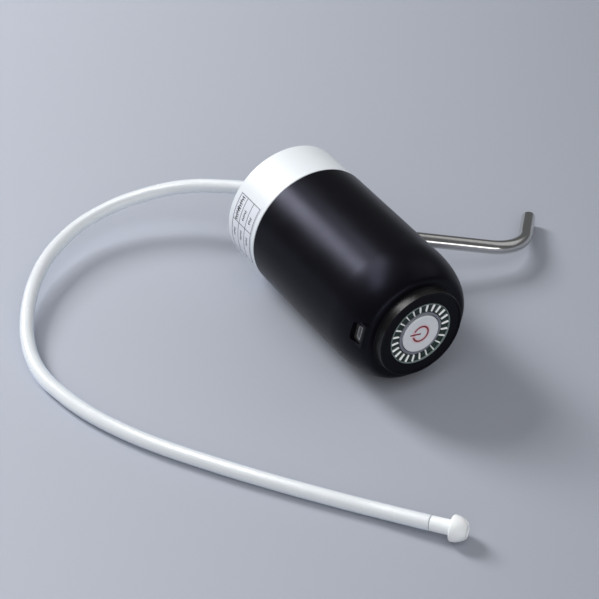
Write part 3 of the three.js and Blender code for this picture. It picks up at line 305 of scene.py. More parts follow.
def nickelPlate():  # the port's plated shell, only part metallic so its light grey also shows as a matt tone: a painted highlight in place of the plating's bright reflection
    material, tree, shader = startMaterial("nickelPlate", "#d6d8db", 0.3, Metallic=0.6)
    addGrain(tree, shader, 0.3, 0.004)
    return material


def socketPlastic():  # the rougher, greyer insert that frames the port
    material, tree, shader = startMaterial("socketPlastic", "#393737", 0.6)
    addGrain(tree, shader, 0.5, 0.02)
    return material


def blackNitrile():  # soft seals and diaphragms
    material, tree, shader = startMaterial("blackNitrile", "#1a1b1d", 0.75)
    addGrain(tree, shader, 0.3, 0.015)
    return material


def solderMask():  # green board with faint copper under it
    material, tree, shader = startMaterial("solderMask", "#1d5b3a", 0.35, Coat_Weight=0.3)
    addTint(tree, shader, 3, "#1a5235", "#22683f")
    return material


def enamelledCopper():  # windings under clear enamel: warm, bright and finely ribbed
    material, tree, shader = startMaterial("enamelledCopper", "#b06a3c", 0.35, Metallic=1)
    addGrain(tree, shader, 0.25, 0.02)
    return material


def sinteredBronze():  # pressed bearing bronze: yellow-brown, matt and porous
    material, tree, shader = startMaterial("sinteredBronze", "#a9864c", 0.45, Metallic=1)
    addGrain(tree, shader, 0.12, 0.008)
    return material


def ferrite():  # pressed ceramic magnets: flat dark grey
    material, tree, shader = startMaterial("ferrite", "#3a3a3d", 0.7)
    addGrain(tree, shader, 0.2, 0.01)
    return material


def shrinkWrap():  # the cell's blue sleeve
    material, tree, shader = startMaterial("shrinkWrap", "#2f6fb0", 0.3, Coat_Weight=0.2)
    addGrain(tree, shader, 3, 0.03)  # shallow wrinkles where it shrank
    return material


def redInsulation():  # soft wire sleeve with a waxy gloss
    material, tree, shader = startMaterial("redInsulation", "#a32025", 0.45)
    addGrain(tree, shader, 0.8, 0.01)
    return material


def blackInsulation():  # the same sleeve in black
    material, tree, shader = startMaterial("blackInsulation", "#1b1b1d", 0.45)
    addGrain(tree, shader, 0.8, 0.01)
    return material


finishOf = {
    "black_gloss": mouldedBlackAbs(), "black_matte": matteBlackPlastic(),
    "white_gloss": mouldedWhiteAbs(), "white_matte": softWhitePolypropylene(),
    "label_paper": labelPaper(), "clear_silicone": clearSilicone(),
    "milky_silicone": milkySilicone(), "black_rubber": blackNitrile(),
    "stainless": polishedStainless(), "plain_steel": stampedSteel(),
    "copper": enamelledCopper(), "brass": sinteredBronze(), "ferrite": ferrite(),
    "grey_plastic": greyMouldedPlastic(), "button_grey": satinSilverPaint(),
    "bezel_grey": metallisedGrey(), "clear_plastic": clearAcrylic(),
    "circuit_board": solderMask(), "cell_wrap": shrinkWrap(),
    "red_wire": redInsulation(), "black_wire": blackInsulation(),
}
print("materials ready:", len(bpy.data.materials))


sharpOver = 35  # edges that turn more than this many degrees are shaded sharp
weldWithin = 0.0005  # points of one outline that are nearer than this are one point


def finishPiece(name, shape, place, body, slotName, replaced=(), material=None):  # mesh to piece
    bmesh.ops.transform(shape, matrix=place, verts=shape.verts)
    for edge in shape.edges:
        edge.smooth = edge.calc_face_angle(math.pi) < math.radians(sharpOver)
    mesh = bpy.data.meshes.new(name)
    shape.to_mesh(mesh)
    shape.free()
    for polygon in mesh.polygons:
        polygon.use_smooth = True
    mesh.materials.append(material or finishOf[slotName])
    piece = bpy.data.objects.new(name, mesh)
    bpy.context.scene.collection.objects.link(piece)
    even = piece.modifiers.new("evenShading", "WEIGHTED_NORMAL")
    even.keep_sharp = True
    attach(piece, body)
    if replaced:
        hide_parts(*replaced)
    return piece


def turnOutline(outline, sides=128, closed=True):  # radius and height pairs, turned about Z
    shape = bmesh.new()
    corners = [shape.verts.new((radius, 0, height)) for radius, height in outline]
    edges = [shape.edges.new(pair) for pair in zip(corners, corners[1:])]
    if closed:
        edges.append(shape.edges.new((corners[-1], corners[0])))
    bmesh.ops.spin(
        shape, geom=corners + edges, cent=(0, 0, 0), axis=(0, 0, 1), angle=math.tau,
        steps=sides, use_merge=True, use_duplicate=False,
    )
    bmesh.ops.remove_doubles(shape, verts=shape.verts, dist=weldWithin)
    bmesh.ops.recalc_face_normals(shape, faces=shape.faces)
    return shape


def roundEdges(shape, width, segments=3, over=40):  # rounds every edge sharper than the angle
    sharp = [edge for edge in shape.edges if edge.calc_face_angle(0) > math.radians(over)]
    bmesh.ops.bevel(
        shape, geom=sharp, offset=width, offset_type="OFFSET", affect="EDGES",
        segments=segments, profile=0.5, material=-1, clamp_overlap=True,
    )
    return shape


def solidBlock(low, high):  # a box between two corners
    shape = bmesh.new()
    bmesh.ops.create_cube(shape, size=1)
    size = [b - a for a, b in zip(low, high)]
    middle = [(a + b) / 2 for a, b in zip(low, high)]
    bmesh.ops.scale(shape, vec=size, verts=shape.verts)
    bmesh.ops.translate(shape, vec=middle, verts=shape.verts)
    return shape


def turnedSector(inner, outer, bottom, top, start, end, steps):  # part of a ring, angles in degrees
    shape = bmesh.new()
    section = ((inner, bottom), (outer, bottom), (outer, top), (inner, top))
    shape.faces.new([shape.verts.new((radius, 0, height)) for radius, height in section])
    turn = Matrix.Rotation(math.radians(start), 4, "Z")
    bmesh.ops.transform(shape, matrix=turn, verts=shape.verts)
    bmesh.ops.spin(
        shape, geom=shape.verts[:] + shape.edges[:] + shape.faces[:], cent=(0, 0, 0),
        axis=(0, 0, 1), angle=math.radians(end - start), steps=steps, use_duplicate=False,
    )
    bmesh.ops.recalc_face_normals(shape, faces=shape.faces)
    return shape


def repeatAround(shape, count):  # copies of the whole shape, evenly about Z
    bmesh.ops.spin(
        shape, geom=shape.verts[:] + shape.edges[:] + shape.faces[:], cent=(0, 0, 0),
        axis=(0, 0, 1), angle=math.tau * (count - 1) / count, steps=count - 1, use_duplicate=True,
    )
    bmesh.ops.recalc_face_normals(shape, faces=shape.faces)
    return shape


def pullFaces(shape, faces, vec):  # extrudes the given faces and gives back the new end
    pulled = bmesh.ops.extrude_face_region(shape, geom=faces)["geom"]
    moved = [item for item in pulled if isinstance(item, bmesh.types.BMVert)]
    bmesh.ops.translate(shape, vec=vec, verts=moved)
    return [item for item in pulled if isinstance(item, bmesh.types.BMFace)]


def addShape(whole, extra):  # a second shape's mesh beside the first, in one bmesh
    mesh = bpy.data.meshes.new("extra")
    extra.to_mesh(mesh)
    extra.free()
    whole.from_mesh(mesh)
    bpy.data.meshes.remove(mesh)
    return whole


def carve(shape, tool, how="DIFFERENCE"):  # two solids, cut or joined by Blender's own boolean
    things = []
    for part in (shape, tool):
        mesh = bpy.data.meshes.new("carving")
        part.to_mesh(mesh)
        part.free()
        things.append(bpy.data.objects.new("carving", mesh))
        bpy.context.scene.collection.objects.link(things[-1])
    change = things[0].modifiers.new("carve", "BOOLEAN")
    change.operation = how
    change.solver = "EXACT"
    change.object = things[1]
    graph = bpy.context.evaluated_depsgraph_get()
    carved = bpy.data.meshes.new_from_object(things[0].evaluated_get(graph))
    result = bmesh.new()
    result.from_mesh(carved)
    for thing in things:
        mesh = thing.data
        bpy.data.objects.remove(thing)
        bpy.data.meshes.remove(mesh)
    bpy.data.meshes.remove(carved)
    return result


# The camera stands where the photograph was taken from.
cameraSizes = {
    "place": (684.6, -506.7, 686.7),
    "aim": (-28.8, -63.1, 0),
    "lens": 120.2,
    "sensor": 36,
    "nearest": 50,
    "farthest": 20000,
}


def makeCamera():
    lens = bpy.data.cameras.new("camera")
    lens.lens = cameraSizes["lens"]
    lens.sensor_width = cameraSizes["sensor"]
    lens.clip_start = cameraSizes["nearest"] * mm
    lens.clip_end = cameraSizes["farthest"] * mm
    camera = bpy.data.objects.new("camera", lens)
    camera.location = Vector(cameraSizes["place"]) * mm
    look = Vector(cameraSizes["aim"]) * mm - camera.location
    camera.rotation_mode = "QUATERNION"
    camera.rotation_quaternion = look.to_track_quat("-Z", "Y")
    bpy.context.scene.collection.objects.link(camera)
    bpy.context.scene.camera = camera


makeCamera()

# The suction hose, from the fitting inside the collar to its foot. X and Y are counted from the
# middle of the collar's mouth and Z from the floor, with the pump on its side.
hoseSizes = {
    "radius": 3.9,
    "wall": 1,
    "smoothness": 8,  # steps between two points of the route
    "roundness": 8,  # steps in a quarter of its section
    "route": [
        (19.75, 0, 36.39), (12, 0, 36.39), (3, 0, 36.39), (-5, -0.5, 36.2), (-13.5, -2.6, 35.5),
        (-22.3, -6, 34), (-30.1, -10.6, 32.4), (-40.2, -18.2, 30), (-49.3, -25.9, 27.7),
        (-56.9, -34.6, 25.4), (-62.7, -44.1, 23), (-66.7, -55, 20.9), (-69.6, -66.3, 18.7),
        (-70.1, -78.6, 16.6), (-68.3, -92.2, 14.7), (-62.3, -107.2, 13), (-53.5, -121, 11.5),
        (-42.6, -132.7, 9.9), (-30.5, -142.4, 8.3), (-17.8, -150.2, 6.6), (-4.5, -156.3, 5.1),
        (10.6, -160.5, 4.2), (27.4, -161.7, 3.95), (41.3, -159.8, 3.95), (55.8, -156.5, 3.95),
        (69.2, -151.9, 3.95), (80.9, -146.9, 3.95), (97, -138.6, 3.95), (125.4, -120.6, 3.95),
        (151.7, -102.2, 3.95), (176.6, -83.6, 3.95), (188.5, -74.4, 4), (196, -68.8, 4.35),
        (202.9, -63.9, 4.85), (210.2, -58.7, 5.42), (214.3, -55.8, 5.73), (217.5, -53.4, 5.97),
    ],
}


def makeHose():
    line = bpy.data.curves.new("suctionHose", "CURVE")
    line.dimensions = "3D"
    line.bevel_depth = hoseSizes["radius"] * mm
    line.bevel_resolution = hoseSizes["roundness"]
    line.resolution_u = line.render_resolution_u = hoseSizes["smoothness"]
    spline = line.splines.new("BEZIER")
    route = [alongFloor @ Vector(point) for point in hoseSizes["route"]]
    spline.bezier_points.add(len(route) - 1)
    for knot, point in zip(spline.bezier_points, route):
        knot.co = point
        knot.handle_left_type = knot.handle_right_type = "AUTO"
    line.materials.append(finishOf["clear_silicone"])
    hose = bpy.data.objects.new("suctionHose", line)
    bpy.context.scene.collection.objects.link(hose)
    wall = hose.modifiers.new("wall", "SOLIDIFY")
    wall.thickness = hoseSizes["wall"] * mm
    wall.offset = -1
    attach(hose, "pump_body")
    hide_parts("suction_hose")
    return hose, route


footSizes = {
    "clearance": 0.3, "bore": 1.5, "plugLength": 6, "plugRadius": 2.4, "stemRadius": 3.8,
    "stemLength": 10.2, "headRadius": 6.6, "headLength": 8, "headEdge": 0.8, "mouthRadius": 3.6,
    "mouthInner": 2.8, "mouthDepth": 0.6, "slotWidth": 1.6, "slotDepth": 3, "crownSteps": 14,
    "edge": 0.35, "sides": 64,
}


def makeFoot(route):  # turned about Z from the hose's end, then laid along the hose
    sizes = footSizes
    stem = sizes["clearance"]
    plugEnd = stem - sizes["plugLength"]
    head = stem + sizes["stemLength"]
    end = head + sizes["headLength"]
    crown = head + sizes["headEdge"]
    outline = [
        (sizes["bore"], plugEnd), (sizes["plugRadius"], plugEnd), (sizes["plugRadius"], stem),
        (sizes["stemRadius"], stem), (sizes["stemRadius"], head),
        (sizes["headRadius"] - sizes["headEdge"] / 2, head),
    ]
    fullTurn = math.acos(sizes["mouthRadius"] / sizes["headRadius"])
    for step in range(sizes["crownSteps"] + 1):
        turn = fullTurn * step / sizes["crownSteps"]
        rise = math.sin(turn) / math.sin(fullTurn)
        outline.append((sizes["headRadius"] * math.cos(turn), crown + (end - crown) * rise))
    outline += [
        (sizes["mouthInner"], end), (sizes["mouthInner"], end - sizes["mouthDepth"]),
        (sizes["bore"], end - sizes["mouthDepth"]),
    ]
    foot = roundEdges(turnOutline(outline, sizes["sides"]), sizes["edge"])
    half = sizes["slotWidth"] / 2
    reach = sizes["headRadius"] + overrun
    slot = solidBlock((-reach, -half, end - sizes["slotDepth"]), (reach, half, end + overrun))
    foot = carve(foot, slot)
    direction = (route[-1] - route[-2]).normalized()
    turn = Vector((0, 0, 1)).rotation_difference(direction).to_matrix().to_4x4()
    place = Matrix.Translation(route[-1]) @ turn @ Matrix.Scale(mm, 4)
    return finishPiece("hoseFoot", foot, place, "pump_body", "white_gloss", ["hose_foot"],
                       finishOf["white_matte"])  # duller than the collar


suctionHose, hoseLine = makeHose()
hoseFoot = makeFoot(hoseLine)

# The black casing with its domed shoulder, its raised rim and the well that holds the button.
casingSizes = {
    "radius": 36.387, "wall": 2, "bottom": 26.65, "domeStart": 101.6, "domeHeight": 25.4,
    "domeTopRadius": 26.3, "domeTurn": 58, "ledge": 125.6, "ledgeRadius": 28, "rimFoot": 25.35,
    "rimRadius": 24.65, "rimWidth": 1, "rimTop": 130.6, "wellFloor": 130, "topHole": 18.25,
    "domeSteps": 24, "blendSteps": 8, "edge": 0.4, "sides": 160,
    "polishFrom": 0.2,  # the rim is polished from this height above the ledge
    "polishReach": 0.1,  # and no further in than this from its outer wall
    "polishSlope": 0.6,  # on faces that look up or down less than this
}
portSizes = {  # floors, fronts and backs are counted from the pump's axis
    "height": 120.15, "recessWidth": 10.5, "recessHeight": 6.8, "recessFloor": 30.6,
    "recessCorner": 1.1, "cornerSteps": 5, "slotWidth": 8.1, "slotHeight": 3.2,
    "frameDepth": 2, "frameWall": 1.3,
    "frameSink": 4,  # how far inside the casing's full radius the frame starts
    "shellWidth": 7.5, "shellHeight": 2.6, "shellWall": 0.3, "shellFront": 31.45, "shellDepth": 6.8,
    "shellCorner": 0.9, "shellEdge": 0.08, "tongueWidth": 5.2, "tongueHeight": 0.7,
    "tongueFront": 30.9, "tongueBack": 26.2, "tongueDrop": 0.3, "tongueEdge": 0.1,
    "insertFront": 31.4, "insertGap": 0.15, "insertSink": 0.3, "insertPlay": 0.1,
    "insertEdge": 0.12,
}


def domeOutline(inset):  # part of an ellipse that runs out into the flat ledge under the rim
    sizes = casingSizes
    outline = []
    wide = sizes["radius"] - sizes["domeTopRadius"]
    tall = sizes["domeHeight"] - inset
    for step in range(sizes["domeSteps"] + 1):
        turn = math.radians(sizes["domeTurn"]) * step / sizes["domeSteps"]
        radius = sizes["domeTopRadius"] + wide * math.cos(turn)
        outline.append((radius - inset, sizes["domeStart"] + tall * math.sin(turn)))
    ledge = sizes["ledge"] - inset
    radius, height = outline[-1]
    slope = wide * math.sin(turn) / (tall * math.cos(turn))
    knee = radius - slope * (ledge - height)
    for step in range(1, sizes["blendSteps"] + 1):
        share = step / sizes["blendSteps"]
        before, middle, after = (1 - share) ** 2, 2 * share * (1 - share), share ** 2
        outline.append((
            before * radius + middle * knee + after * (sizes["ledgeRadius"] - inset),
            before * height + (middle + after) * ledge,
        ))
    return outline


def cutPort(casing):  # a thick frame inside the wall, then the recess and the slot through it
    port = portSizes
    radius, floor, wall = casingSizes["radius"], port["recessFloor"], port["frameWall"]
    halfWidth = port["recessWidth"] / 2
    low = port["height"] - port["recessHeight"] / 2
    high = port["height"] + port["recessHeight"] / 2
    casing = carve(casing, solidBlock(
        (-radius + port["frameSink"], -halfWidth - wall, low - wall),
        (-floor + port["frameDepth"], halfWidth + wall, high + wall),
    ), "UNION")
    recess = solidBlock((-radius - overrun, -halfWidth, low), (-floor, halfWidth, high))
    inward = [  # the recess's four edges that run into the casing
        edge for edge in recess.edges if abs((edge.verts[0].co - edge.verts[1].co).x) > 1
    ]
    bmesh.ops.bevel(
        recess, geom=inward, offset=port["recessCorner"], offset_type="OFFSET", affect="EDGES",
        segments=port["cornerSteps"], profile=0.5, material=-1,
    )
    casing = carve(casing, recess)
    slotWide, slotHigh = port["slotWidth"] / 2, port["slotHeight"] / 2
    return carve(casing, solidBlock(
        (-radius, -slotWide, port["height"] - slotHigh),
        (-floor + port["frameDepth"] + overrun, slotWide, port["height"] + slotHigh),
    ))


def makeCasing():
    sizes = casingSizes
    rimTop, wellFloor = sizes["rimTop"], sizes["wellFloor"]
    wellUnder = wellFloor - sizes["wall"]
    rimInner = sizes["rimRadius"] - sizes["rimWidth"]
    rimInside = sizes["rimRadius"] - sizes["wall"]
    inner = domeOutline(sizes["wall"])
    outline = [(sizes["radius"], sizes["bottom"])] + domeOutline(0) + [
        (sizes["rimFoot"], sizes["ledge"]), (sizes["rimRadius"], rimTop),
        (rimInner, rimTop), (rimInner, wellFloor), (sizes["topHole"], wellFloor),
        (sizes["topHole"], wellUnder), (rimInside, wellUnder), (rimInside, inner[-1][1]),
    ] + inner[::-1] + [(sizes["radius"] - sizes["wall"], sizes["bottom"])]
    casing = roundEdges(turnOutline(outline, sizes["sides"]), sizes["edge"])
    casing = cutPort(casing)
    socket = socketSizes
    holeStart, holeEnd = socket["holeStart"], socket["holeEnd"]
    hole = turnOutline([
        (0, holeStart), (socket["hole"], holeStart), (socket["hole"], holeEnd), (0, holeEnd),
    ], socket["sides"], closed=False)
    bmesh.ops.transform(hole, matrix=upright.inverted() @ alongLeg, verts=hole.verts)
    casing = carve(casing, hole)
    for face in casing.faces:  # the rim's outer wall has the second material
        centre = face.calc_center_median()
        outside = math.hypot(centre.x, centre.y) > sizes["rimRadius"] - sizes["polishReach"]
        above = centre.z > sizes["ledge"] + sizes["polishFrom"]
        face.material_index = outside and above and abs(face.normal.z) < sizes["polishSlope"]
    piece = finishPiece("outerCasing", casing, upright, "pump_body", "black_gloss", ["outer_shell"])
    piece.data.materials.append(polishedBlackAbs())


# The boss that the spout turns in, cut off just under the casing's surface.
socketSizes = {
    "radius": 7.4, "hole": 7.65, "bore": 4.3, "floor": -12, "end": -14.2, "outer": 9.4,
    "portRadius": 2.4, "portBore": 1.3, "portEnd": -18.7, "groove": 5.7, "grooveLow": -7,
    "grooveHigh": -4.8, "sink": 0.25, "sides": 64, "holeStart": -14, "holeEnd": 12, "cutTop": 100,
}


def makeSocket():
    sizes = socketSizes
    outline = [
        (sizes["portBore"], sizes["portEnd"]), (sizes["portRadius"], sizes["portEnd"]),
        (sizes["portRadius"], sizes["end"]), (sizes["radius"], sizes["end"]),
        (sizes["radius"], sizes["outer"]), (sizes["bore"], sizes["outer"]),
        (sizes["bore"], sizes["grooveHigh"]), (sizes["groove"], sizes["grooveHigh"]),
        (sizes["groove"], sizes["grooveLow"]), (sizes["bore"], sizes["grooveLow"]),
        (sizes["bore"], sizes["floor"]), (sizes["portBore"], sizes["floor"]),
    ]
    socket = turnOutline(outline, sizes["sides"])
    bmesh.ops.transform(socket, matrix=upright.inverted() @ alongLeg, verts=socket.verts)
    radius, top = casingSizes["radius"] - sizes["sink"], sizes["cutTop"]
    inside = turnOutline([(0, 0), (radius, 0), (radius, top), (0, top)], casingSizes["sides"],
                         closed=False)
    socket = carve(socket, inside, "INTERSECT")
    finishPiece("spoutSocket", socket, upright, "pump_body", "black_gloss", ["spout_socket"])


makeCasing()
makeSocket()
print("casing made")

# The white collar: an outer skirt, the ribbed sleeve for the bottle's neck, the web and a spigot.
collarSizes = {
    "radius": 36.15, "wall": 2, "edge": 0.7, "top": 26.35, "webUnder": 22.35, "webTop": 25.35,
    "spigotRadius": 34.1, "spigotTop": 31, "neckRadius": 28.6, "neckWall": 2, "neckRecess": 3,
    "ribs": 12, "ribDepth": 0.8, "ribWidth": 2.4, "ribBottom": 3.5, "ribTop": 20.05,
    "ribTurn": 15, "ribEdge": 0.35, "hole": 3.6, "sides": 160, "edgeSteps": 4,
}


def makeCollar():
    sizes = collarSizes
    inner = sizes["radius"] - sizes["wall"]
    neckOuter = sizes["neckRadius"] + sizes["neckWall"]
    spigotInner = sizes["spigotRadius"] - sizes["wall"]
    outline = [
        (sizes["radius"], 0), (sizes["radius"], sizes["top"]),
        (sizes["spigotRadius"], sizes["top"]),
        (sizes["spigotRadius"], sizes["spigotTop"]), (spigotInner, sizes["spigotTop"]),
        (spigotInner, sizes["webTop"]), (sizes["hole"], sizes["webTop"]),
        (sizes["hole"], sizes["webUnder"]), (sizes["neckRadius"], sizes["webUnder"]),
        (sizes["neckRadius"], sizes["neckRecess"]), (neckOuter, sizes["neckRecess"]),
        (neckOuter, sizes["webUnder"]), (inner, sizes["webUnder"]), (inner, 0),
    ]
    collar = roundEdges(turnOutline(outline, sizes["sides"]), sizes["edge"], sizes["edgeSteps"])
    half = sizes["ribWidth"] / 2
    rib = solidBlock(
        (sizes["neckRadius"] - sizes["ribDepth"], -half, sizes["ribBottom"]),
        (sizes["neckRadius"] + sizes["neckWall"] / 2, half, sizes["ribTop"]),
    )
    roundEdges(rib, sizes["ribEdge"])
    turn = Matrix.Rotation(math.radians(sizes["ribTurn"]), 4, "Z")
    bmesh.ops.transform(rib, matrix=turn, verts=rib.verts)
    collar = carve(collar, repeatAround(rib, sizes["ribs"]), "UNION")
    finishPiece("bottleCollar", collar, upright, "pump_body", "white_gloss", ["bottle_collar"])


# The label that wraps part of the collar, with a plain printed table. Angles are in degrees round
# the collar, counted from the spout's side.
labelSizes = {
    "gap": 0.04, "thickness": 0.12, "ink": 0.03, "from": 156.5, "to": 213.5, "steps": 40,
    "bottom": 3.5, "top": 23, "line": 0.34, "columns": [157.3, 181.3, 212.7],
    "rows": [4.3, 10.3, 16.3, 22.2], "letterGap": 0.3,
    "stem": 0.45,  # shares of a letter's width and height
    "foot": 0.3, "shortTop": 0.75, "armTop": 0.62,
}
labelWords = [  # start angle, lower edge, height, width of a letter, letters in the word
    (159.2, 5.8, 2.9, 0.95, 7), (169.6, 5.8, 2.9, 0.95, 6), (189.5, 6.1, 2, 0.7, 5),
    (167.6, 12.2, 2.1, 0.75, 6), (187, 12.4, 1.9, 0.6, 7),
    (169.3, 18, 2.1, 0.75, 4), (188.5, 18.2, 1.9, 0.6, 6),
]


def makeLabel():
    sizes = labelSizes
    inner = collarSizes["radius"] + sizes["gap"]
    outer = inner + sizes["thickness"]
    paper = turnedSector(inner, outer, sizes["bottom"], sizes["top"], sizes["from"], sizes["to"],
                         sizes["steps"])
    finishPiece("specLabel", paper, upright, "pump_body", "label_paper", ["spec_label"])
    lineTurn = math.degrees(sizes["line"] / outer)
    start, end = sizes["columns"][0], sizes["columns"][-1]
    low, high = sizes["rows"][0], sizes["rows"][-1]
    bars = [(start, end, row, row + sizes["line"]) for row in sizes["rows"]]
    bars += [(column, column + lineTurn, low, high + sizes["line"]) for column in sizes["columns"]]
    gap = math.degrees(sizes["letterGap"] / outer)
    for angle, row, height, letter, count in labelWords:
        width = math.degrees(letter / outer)
        stem = width * sizes["stem"]
        foot = row + height * sizes["foot"]
        for i in range(count):  # marks the size of letters, tall and short by turns
            bottom = foot if i % 3 == 1 else row
            top = row + height * (sizes["shortTop"] if i % 4 == 2 else 1)
            bars.append((angle, angle + stem, bottom, top))
            bars.append((angle + stem, angle + width, foot, row + height * sizes["armTop"]))
            angle += width + gap
    marks = bmesh.new()
    for left, right, bottom, top in bars:
        steps = max(2, round(abs(right - left)))
        addShape(marks, turnedSector(outer, outer + sizes["ink"], bottom, top, left, right, steps))
    finishPiece("labelPrint", marks, upright, "pump_body", "label_paper", (), printingInk())


# The soft gasket over the bottle's mouth and the barbed fitting that the hose pushes onto.
mouthSizes = {
    "gasketInner": 21, "gasketOuter": 28.2, "gasketLow": 20.35, "gasketHigh": 22.05,
    "gasketEdge": 0.3, "sides": 48,
    "bore": 1.5, "tip": 6, "tipRadius": 2, "barb": 2.5, "root": 2.2, "pitch": 2.6, "barbs": 4,
    "flange": 5.5, "flangeLow": 20.05, "flangeHigh": 22.05, "neck": 3.3, "upper": 2.9,
    "neckTop": 25.65, "top": 28.4,
}


def makeMouth():
    sizes = mouthSizes
    low, high = sizes["gasketLow"], sizes["gasketHigh"]
    gasket = turnOutline([
        (sizes["gasketInner"], low), (sizes["gasketOuter"], low),
        (sizes["gasketOuter"], high), (sizes["gasketInner"], high),
    ])
    roundEdges(gasket, sizes["gasketEdge"])
    finishPiece("collarGasket", gasket, upright, "pump_body", "milky_silicone", ["collar_gasket"])
    outline = [(sizes["bore"], sizes["tip"]), (sizes["tipRadius"], sizes["tip"])]
    for barb in range(sizes["barbs"]):
        height = sizes["tip"] + sizes["pitch"] * (barb + 1)
        outline += [(sizes["barb"], height), (sizes["root"], height)]
    outline += [
        (sizes["root"], sizes["flangeLow"]), (sizes["flange"], sizes["flangeLow"]),
        (sizes["flange"], sizes["flangeHigh"]), (sizes["neck"], sizes["flangeHigh"]),
        (sizes["neck"], sizes["neckTop"]), (sizes["upper"], sizes["neckTop"]),
        (sizes["upper"], sizes["top"]), (sizes["bore"], sizes["top"]),
    ]
    nipple = turnOutline(outline, sizes["sides"])
    finishPiece("inletNipple", nipple, upright, "pump_body", "white_matte", ["inlet_nipple"])


makeCollar()
makeLabel()
makeMouth()
print("collar made")

# The lit ring: a dark tinted well with bright bars, inside a thin clear lip.
ringSizes = {
    "inner": 12.9, "outer": 17.95, "flange": 19.2, "flangeTop": 127.5, "bottom": 126,
    "floor": 129.1, "lipWidth": 0.4, "lipGap": 0.02, "lipTop": 130.15, "lipEdge": 0.15,
    "bars": 24, "barInner": 13.2, "barOuter": 17.3, "barWide": 1.05, "barNarrow": 0.6,
    "barLow": 129, "barTop": 129.9, "barEdge": 0.12,
    "crest": 0.45,  # how much of its width a bar keeps at its top
}
buttonSizes = {
    "bezelInner": 11.2, "bezelOuter": 12.6, "bezelLow": 124.7, "bezelTop": 129.9,
    "bezelEdge": 0.3, "edge": 0.35, "edgeSteps": 4, "dishSteps": 12,
    "radius": 10.85, "top": 130.25, "sag": 0.25, "skin": 1.5, "wall": 1.2, "lipRadius": 12.2,
    "lipLow": 123.4, "lipHigh": 124.4, "stemRadius": 2.2, "stemLow": 123.65,
    "markRadius": 4.45, "markWidth": 0.88, "markRise": 0.03, "markTurn": 181, "markGap": 22,
    "markSink": 0.05, "markSteps": 60, "barReach": 6.9,
    "markLevel": 0.75,  # how far down the dish the mark lies
    "glow": 1.9,  # how far from the mark the glow reaches
    "glowShare": 0.75,  # how pink the paint is right at the mark
}


def makeLightRing():
    sizes = ringSizes
    wellRadius = sizes["outer"] - sizes["lipWidth"]
    well = turnOutline([
        (sizes["inner"], sizes["bottom"]), (sizes["flange"], sizes["bottom"]),
        (sizes["flange"], sizes["flangeTop"]), (wellRadius, sizes["flangeTop"]),
        (wellRadius, sizes["floor"]), (sizes["inner"], sizes["floor"]),
    ])
    finishPiece("lightRingWell", well, upright, "pump_body", "clear_plastic", ["light_ring"],
                darkFacets())
    lipInner, lipLow = wellRadius + sizes["lipGap"], sizes["flangeTop"] + sizes["lipGap"]
    lip = turnOutline([
        (lipInner, lipLow), (sizes["outer"], lipLow), (sizes["outer"], sizes["lipTop"]),
        (lipInner, sizes["lipTop"]),
    ])
    roundEdges(lip, sizes["lipEdge"])
    finishPiece("lightRingLip", lip, upright, "pump_body", "clear_plastic", ["light_ring"])
    barLow, barTop = sizes["barLow"], sizes["barTop"]
    barInner, barOuter = sizes["barInner"], sizes["barOuter"]
    bar = solidBlock((barInner, -1, barLow), (barOuter, 1, barTop))
    for corner in bar.verts:  # wider outward and narrower at its top
        wide = sizes["barWide"] if corner.co.x > (barInner + barOuter) / 2 else sizes["barNarrow"]
        share = sizes["crest"] if corner.co.z > (barLow + barTop) / 2 else 1
        corner.co.y *= wide / 2 * share
    roundEdges(bar, sizes["barEdge"], 2)
    bars = repeatAround(bar, sizes["bars"])
    finishPiece("lightRingBars", bars, upright, "pump_body", "clear_plastic", ["light_ring"],
                brightFacets())


def litButtonPaint():  # silver paint with the lamp's pink glow round the mark
    sizes = buttonSizes
    material = finishOf["button_grey"].copy()
    material.name = "litButtonPaint"
    tree = material.node_tree
    shader = tree.nodes["Principled BSDF"]
    place = addNode(tree, "ShaderNodeTexCoord")
    centre = addNode(tree, "ShaderNodeVectorMath", {"operation": "SUBTRACT", 1: axisPoint},
                     {0: place.outputs["Object"]})
    flat = addNode(tree, "ShaderNodeVectorMath", {"operation": "MULTIPLY", 1: (0, 1, 1)},
                   {0: centre.outputs[0]})
    distance = addNode(tree, "ShaderNodeVectorMath", {"operation": "LENGTH"}, {0: flat.outputs[0]})
    offset = addNode(
        tree, "ShaderNodeMath", {"operation": "SUBTRACT", 1: sizes["markRadius"] * mm},
        {0: distance.outputs["Value"]},
    )
    away = addNode(tree, "ShaderNodeMath", {"operation": "ABSOLUTE"}, {0: offset.outputs[0]})
    glow = addNode(
        tree, "ShaderNodeMapRange",
        {"interpolation_type": "SMOOTHSTEP", "From Min": 0, "From Max": sizes["glow"] * mm,
         "To Min": sizes["glowShare"], "To Max": 0},
        {"Value": away.outputs[0]},
    )
    mix = addNode(
        tree, "ShaderNodeMix",
        {"data_type": "RGBA", 6: linear("#eceef2"), 7: linear("#f0b9c0")},
        {0: glow.outputs["Result"]},
    )
    tree.links.new(mix.outputs[2], shader.inputs["Base Color"])
    return material


